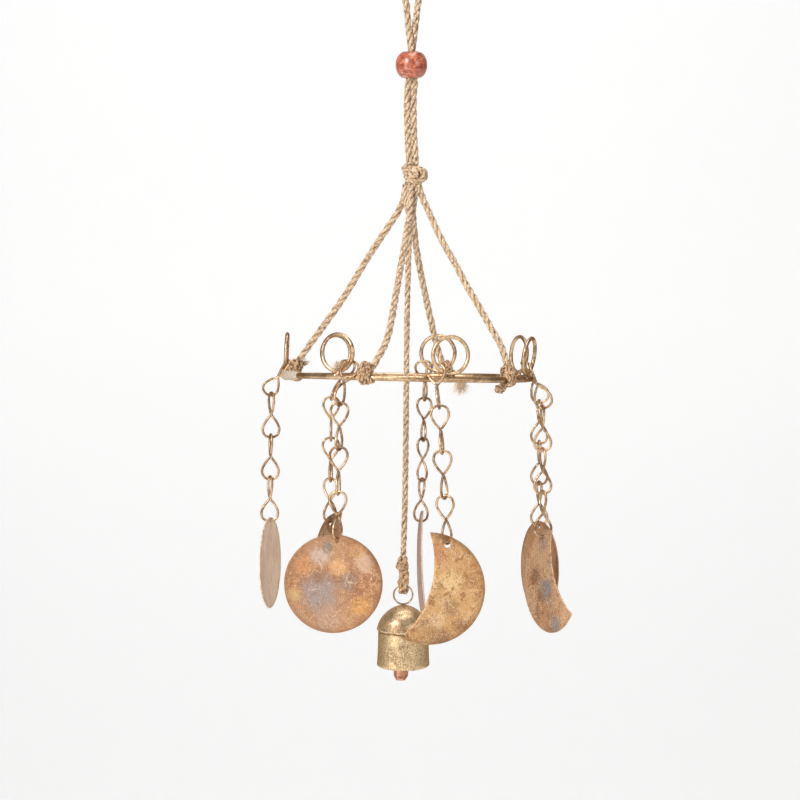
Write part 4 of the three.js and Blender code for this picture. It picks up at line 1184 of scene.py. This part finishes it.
class MOBILE_OT_bell(bpy.types.Operator):
    """Makes the bell's body, its domed cap and its ring"""
    bl_idname = "mobile.bell"
    bl_label = "Bell"

    def execute(self, context):
        rim_z = -(BELL_BODY_HEIGHT + BELL_CAP_HEIGHT)
        seam = rim_z + BELL_BODY_HEIGHT
        neck = BELL_CAP_RADIUS - BELL_WALL - GAP - 0.5
        dent = settings("mobile_bell").dent
        pale = tuple(settings("mobile_bell").colour)

        bm = bmesh.new()
        inner = BELL_RIM_RADIUS - BELL_WALL
        wall = [(inner + 0.15, rim_z + 0.1), (inner + 0.45, rim_z), (BELL_RIM_RADIUS - 0.3, rim_z), (BELL_RIM_RADIUS, rim_z + 0.25)]
        for i in range(1, 15):
            t = i / 15
            wall.append((BELL_RIM_RADIUS + (BELL_SHOULDER_RADIUS - BELL_RIM_RADIUS) * t - 0.12 * math.sin(math.pi * t),
                         rim_z + BELL_BODY_HEIGHT * t))
        wall += [(BELL_SHOULDER_RADIUS, seam - GAP - 0.25), (BELL_SHOULDER_RADIUS - 0.25, seam - GAP), (neck, seam - GAP),
                 (neck, seam + 2.8), (neck - BELL_WALL, seam + 2.8), (BELL_SHOULDER_RADIUS - BELL_WALL - 0.7, seam - 2)]
        wall += [(BELL_SHOULDER_RADIUS - BELL_WALL - 0.7 + 1.4 * t / 8, seam - 2 - (BELL_BODY_HEIGHT - 2) * t / 8) for t in range(1, 8)]
        wall.append(wall[0])
        profile_line(bm, wall)
        turn_profile(bm, 96)
        bmesh.ops.transform(bm, matrix=bell_matrix(), verts=bm.verts[:])
        outward(bm)
        self.uneven(bm, dent, 60.0)
        finished_piece(bm, "bell_body_brass", bell_finish("bell_body_patina", pale, (0.42, 0.27, 0.14), 0.60, 0.2), ("bell_body",))

        bm = bmesh.new()
        rows = 18
        dome = lambda radius, height, i: (radius * (1 - math.sin(math.pi / 2 * i / rows) ** 1.8) ** (1 / 1.8),
                                          height * math.sin(math.pi / 2 * i / rows) - BELL_CAP_HEIGHT)
        outside = [dome(BELL_CAP_RADIUS, BELL_CAP_HEIGHT, i) for i in range(rows + 1)]
        inside = [dome(BELL_CAP_RADIUS - BELL_WALL, BELL_CAP_HEIGHT - BELL_WALL, i) for i in range(rows, -1, -1)]
        outside[0] = (BELL_CAP_RADIUS + 0.25, -BELL_CAP_HEIGHT + 0.1)
        outside[-1] = (0, -0.05)
        inside[0] = (0, -BELL_WALL)
        profile_line(bm, outside + inside + [outside[0]])
        bmesh.ops.remove_doubles(bm, verts=bm.verts[:], dist=1e-5)
        axis_edges = [e for e in bm.edges if all(abs(v.co.x) < 1e-4 for v in e.verts)]
        bmesh.ops.delete(bm, geom=axis_edges, context="EDGES")
        turn_profile(bm, 96)
        bmesh.ops.transform(bm, matrix=bell_matrix(), verts=bm.verts[:])
        outward(bm)
        self.uneven(bm, dent * 1.3, 75.0)
        finished_piece(bm, "bell_cap_brass", bell_finish("bell_cap_patina", (0.82, 0.58, 0.34), (0.50, 0.29, 0.14), 0.58, 0.5),
                       ("bell_cap",))

        bm = bmesh.new()
        ring = Vector(BELL_CROWN) + Vector((0, 0, BELL_RING_RADIUS + BELL_RING_WIRE / 2 + GAP))
        torus(bm, BELL_RING_RADIUS, BELL_RING_WIRE, 12, 56, Matrix.Scale(MM, 4) @ Matrix.Translation(ring))
        outward(bm)
        finish = wire_finish("bell_ring_wire", "brass_wire", settings("mobile_wire"), 0.5, 0.3)
        finished_piece(bm, "bell_ring_wire", finish, ("bell_ring",))
        return {"FINISHED"}

    def uneven(self, bm, depth, scale):
        bm.normal_update()
        shifts = [(v, v.normal * depth * noise.noise(v.co * scale)) for v in bm.verts]
        for vert, shift in shifts:
            vert.co += shift


class MOBILE_OT_clapper(bpy.types.Operator):
    """Makes the clapper's rod and its faceted bob"""
    bl_idname = "mobile.clapper"
    bl_label = "Clapper"

    def execute(self, context):
        hang = (Matrix.Scale(MM, 4) @ Matrix.Translation(BELL_CROWN)
                @ Matrix.Rotation(math.radians(1.5), 4, "X") @ Matrix.Rotation(math.radians(2), 4, "Y"))
        bm = bmesh.new()
        profile_line(bm, [(0, -45.2), (2.7, -45.2), (4.5, -42.4), (4.7, -37.6), (3.2, -34.6), (0, -33.6)])
        turn_profile(bm, 9)
        creases = [e for e in bm.edges if e.is_manifold and e.calc_face_angle() > math.radians(12)]
        bmesh.ops.bevel(bm, geom=creases, offset=0.28, segments=2, profile=0.5, affect="EDGES", material=-1)
        bmesh.ops.transform(bm, matrix=hang, verts=bm.verts[:])
        outward(bm)
        rod = [hang @ Vector((0, 0, z)) for z in (-34.0, -24.0, -14.0, -2.6)]
        sweep(bm, smooth_route(rod, 12), 0.0007, 12)
        outward(bm)
        finished_piece(bm, "clapper_bob", clapper_finish(), ("clapper",))
        return {"FINISHED"}


class MOBILE_PT_panel(bpy.types.Panel):
    """Lists the mobile's pieces and their settings"""
    bl_label = "Hanging Moon Mobile"
    bl_idname = "MOBILE_PT_panel"
    bl_space_type = "VIEW_3D"
    bl_region_type = "UI"
    bl_category = "Mobile"

    def draw(self, context):
        layout = self.layout
        for operator in OPERATORS:
            layout.operator(operator.bl_idname)
        for name in SETTINGS:
            box = layout.box()
            group = getattr(context.scene, name)
            for key in group.__annotations__:
                box.prop(group, key)


OPERATORS = (
    MOBILE_OT_stage, MOBILE_OT_cords, MOBILE_OT_knots, MOBILE_OT_fibres, MOBILE_OT_hoop, MOBILE_OT_hanger_rings,
    MOBILE_OT_chains, MOBILE_OT_moons, MOBILE_OT_bead, MOBILE_OT_bell, MOBILE_OT_clapper,
)
SETTINGS = {
    "mobile_cord": MobileCordSettings,
    "mobile_wire": MobileWireSettings,
    "mobile_moon": MobileMoonSettings,
    "mobile_bell": MobileBellSettings,
    "mobile_stage": MobileStageSettings,
}


def register():
    for cls in (*SETTINGS.values(), *OPERATORS, MOBILE_PT_panel):
        bpy.utils.register_class(cls)
    for name, group in SETTINGS.items():
        setattr(bpy.types.Scene, name, PointerProperty(type=group))


def unregister():
    for name in SETTINGS:
        delattr(bpy.types.Scene, name)
    for cls in reversed((*SETTINGS.values(), *OPERATORS, MOBILE_PT_panel)):
        bpy.utils.unregister_class(cls)


def main():
    register()
    for operator in OPERATORS:
        group, name = operator.bl_idname.split(".")
        getattr(getattr(bpy.ops, group), name)()


if __name__ == "__main__":
    main()
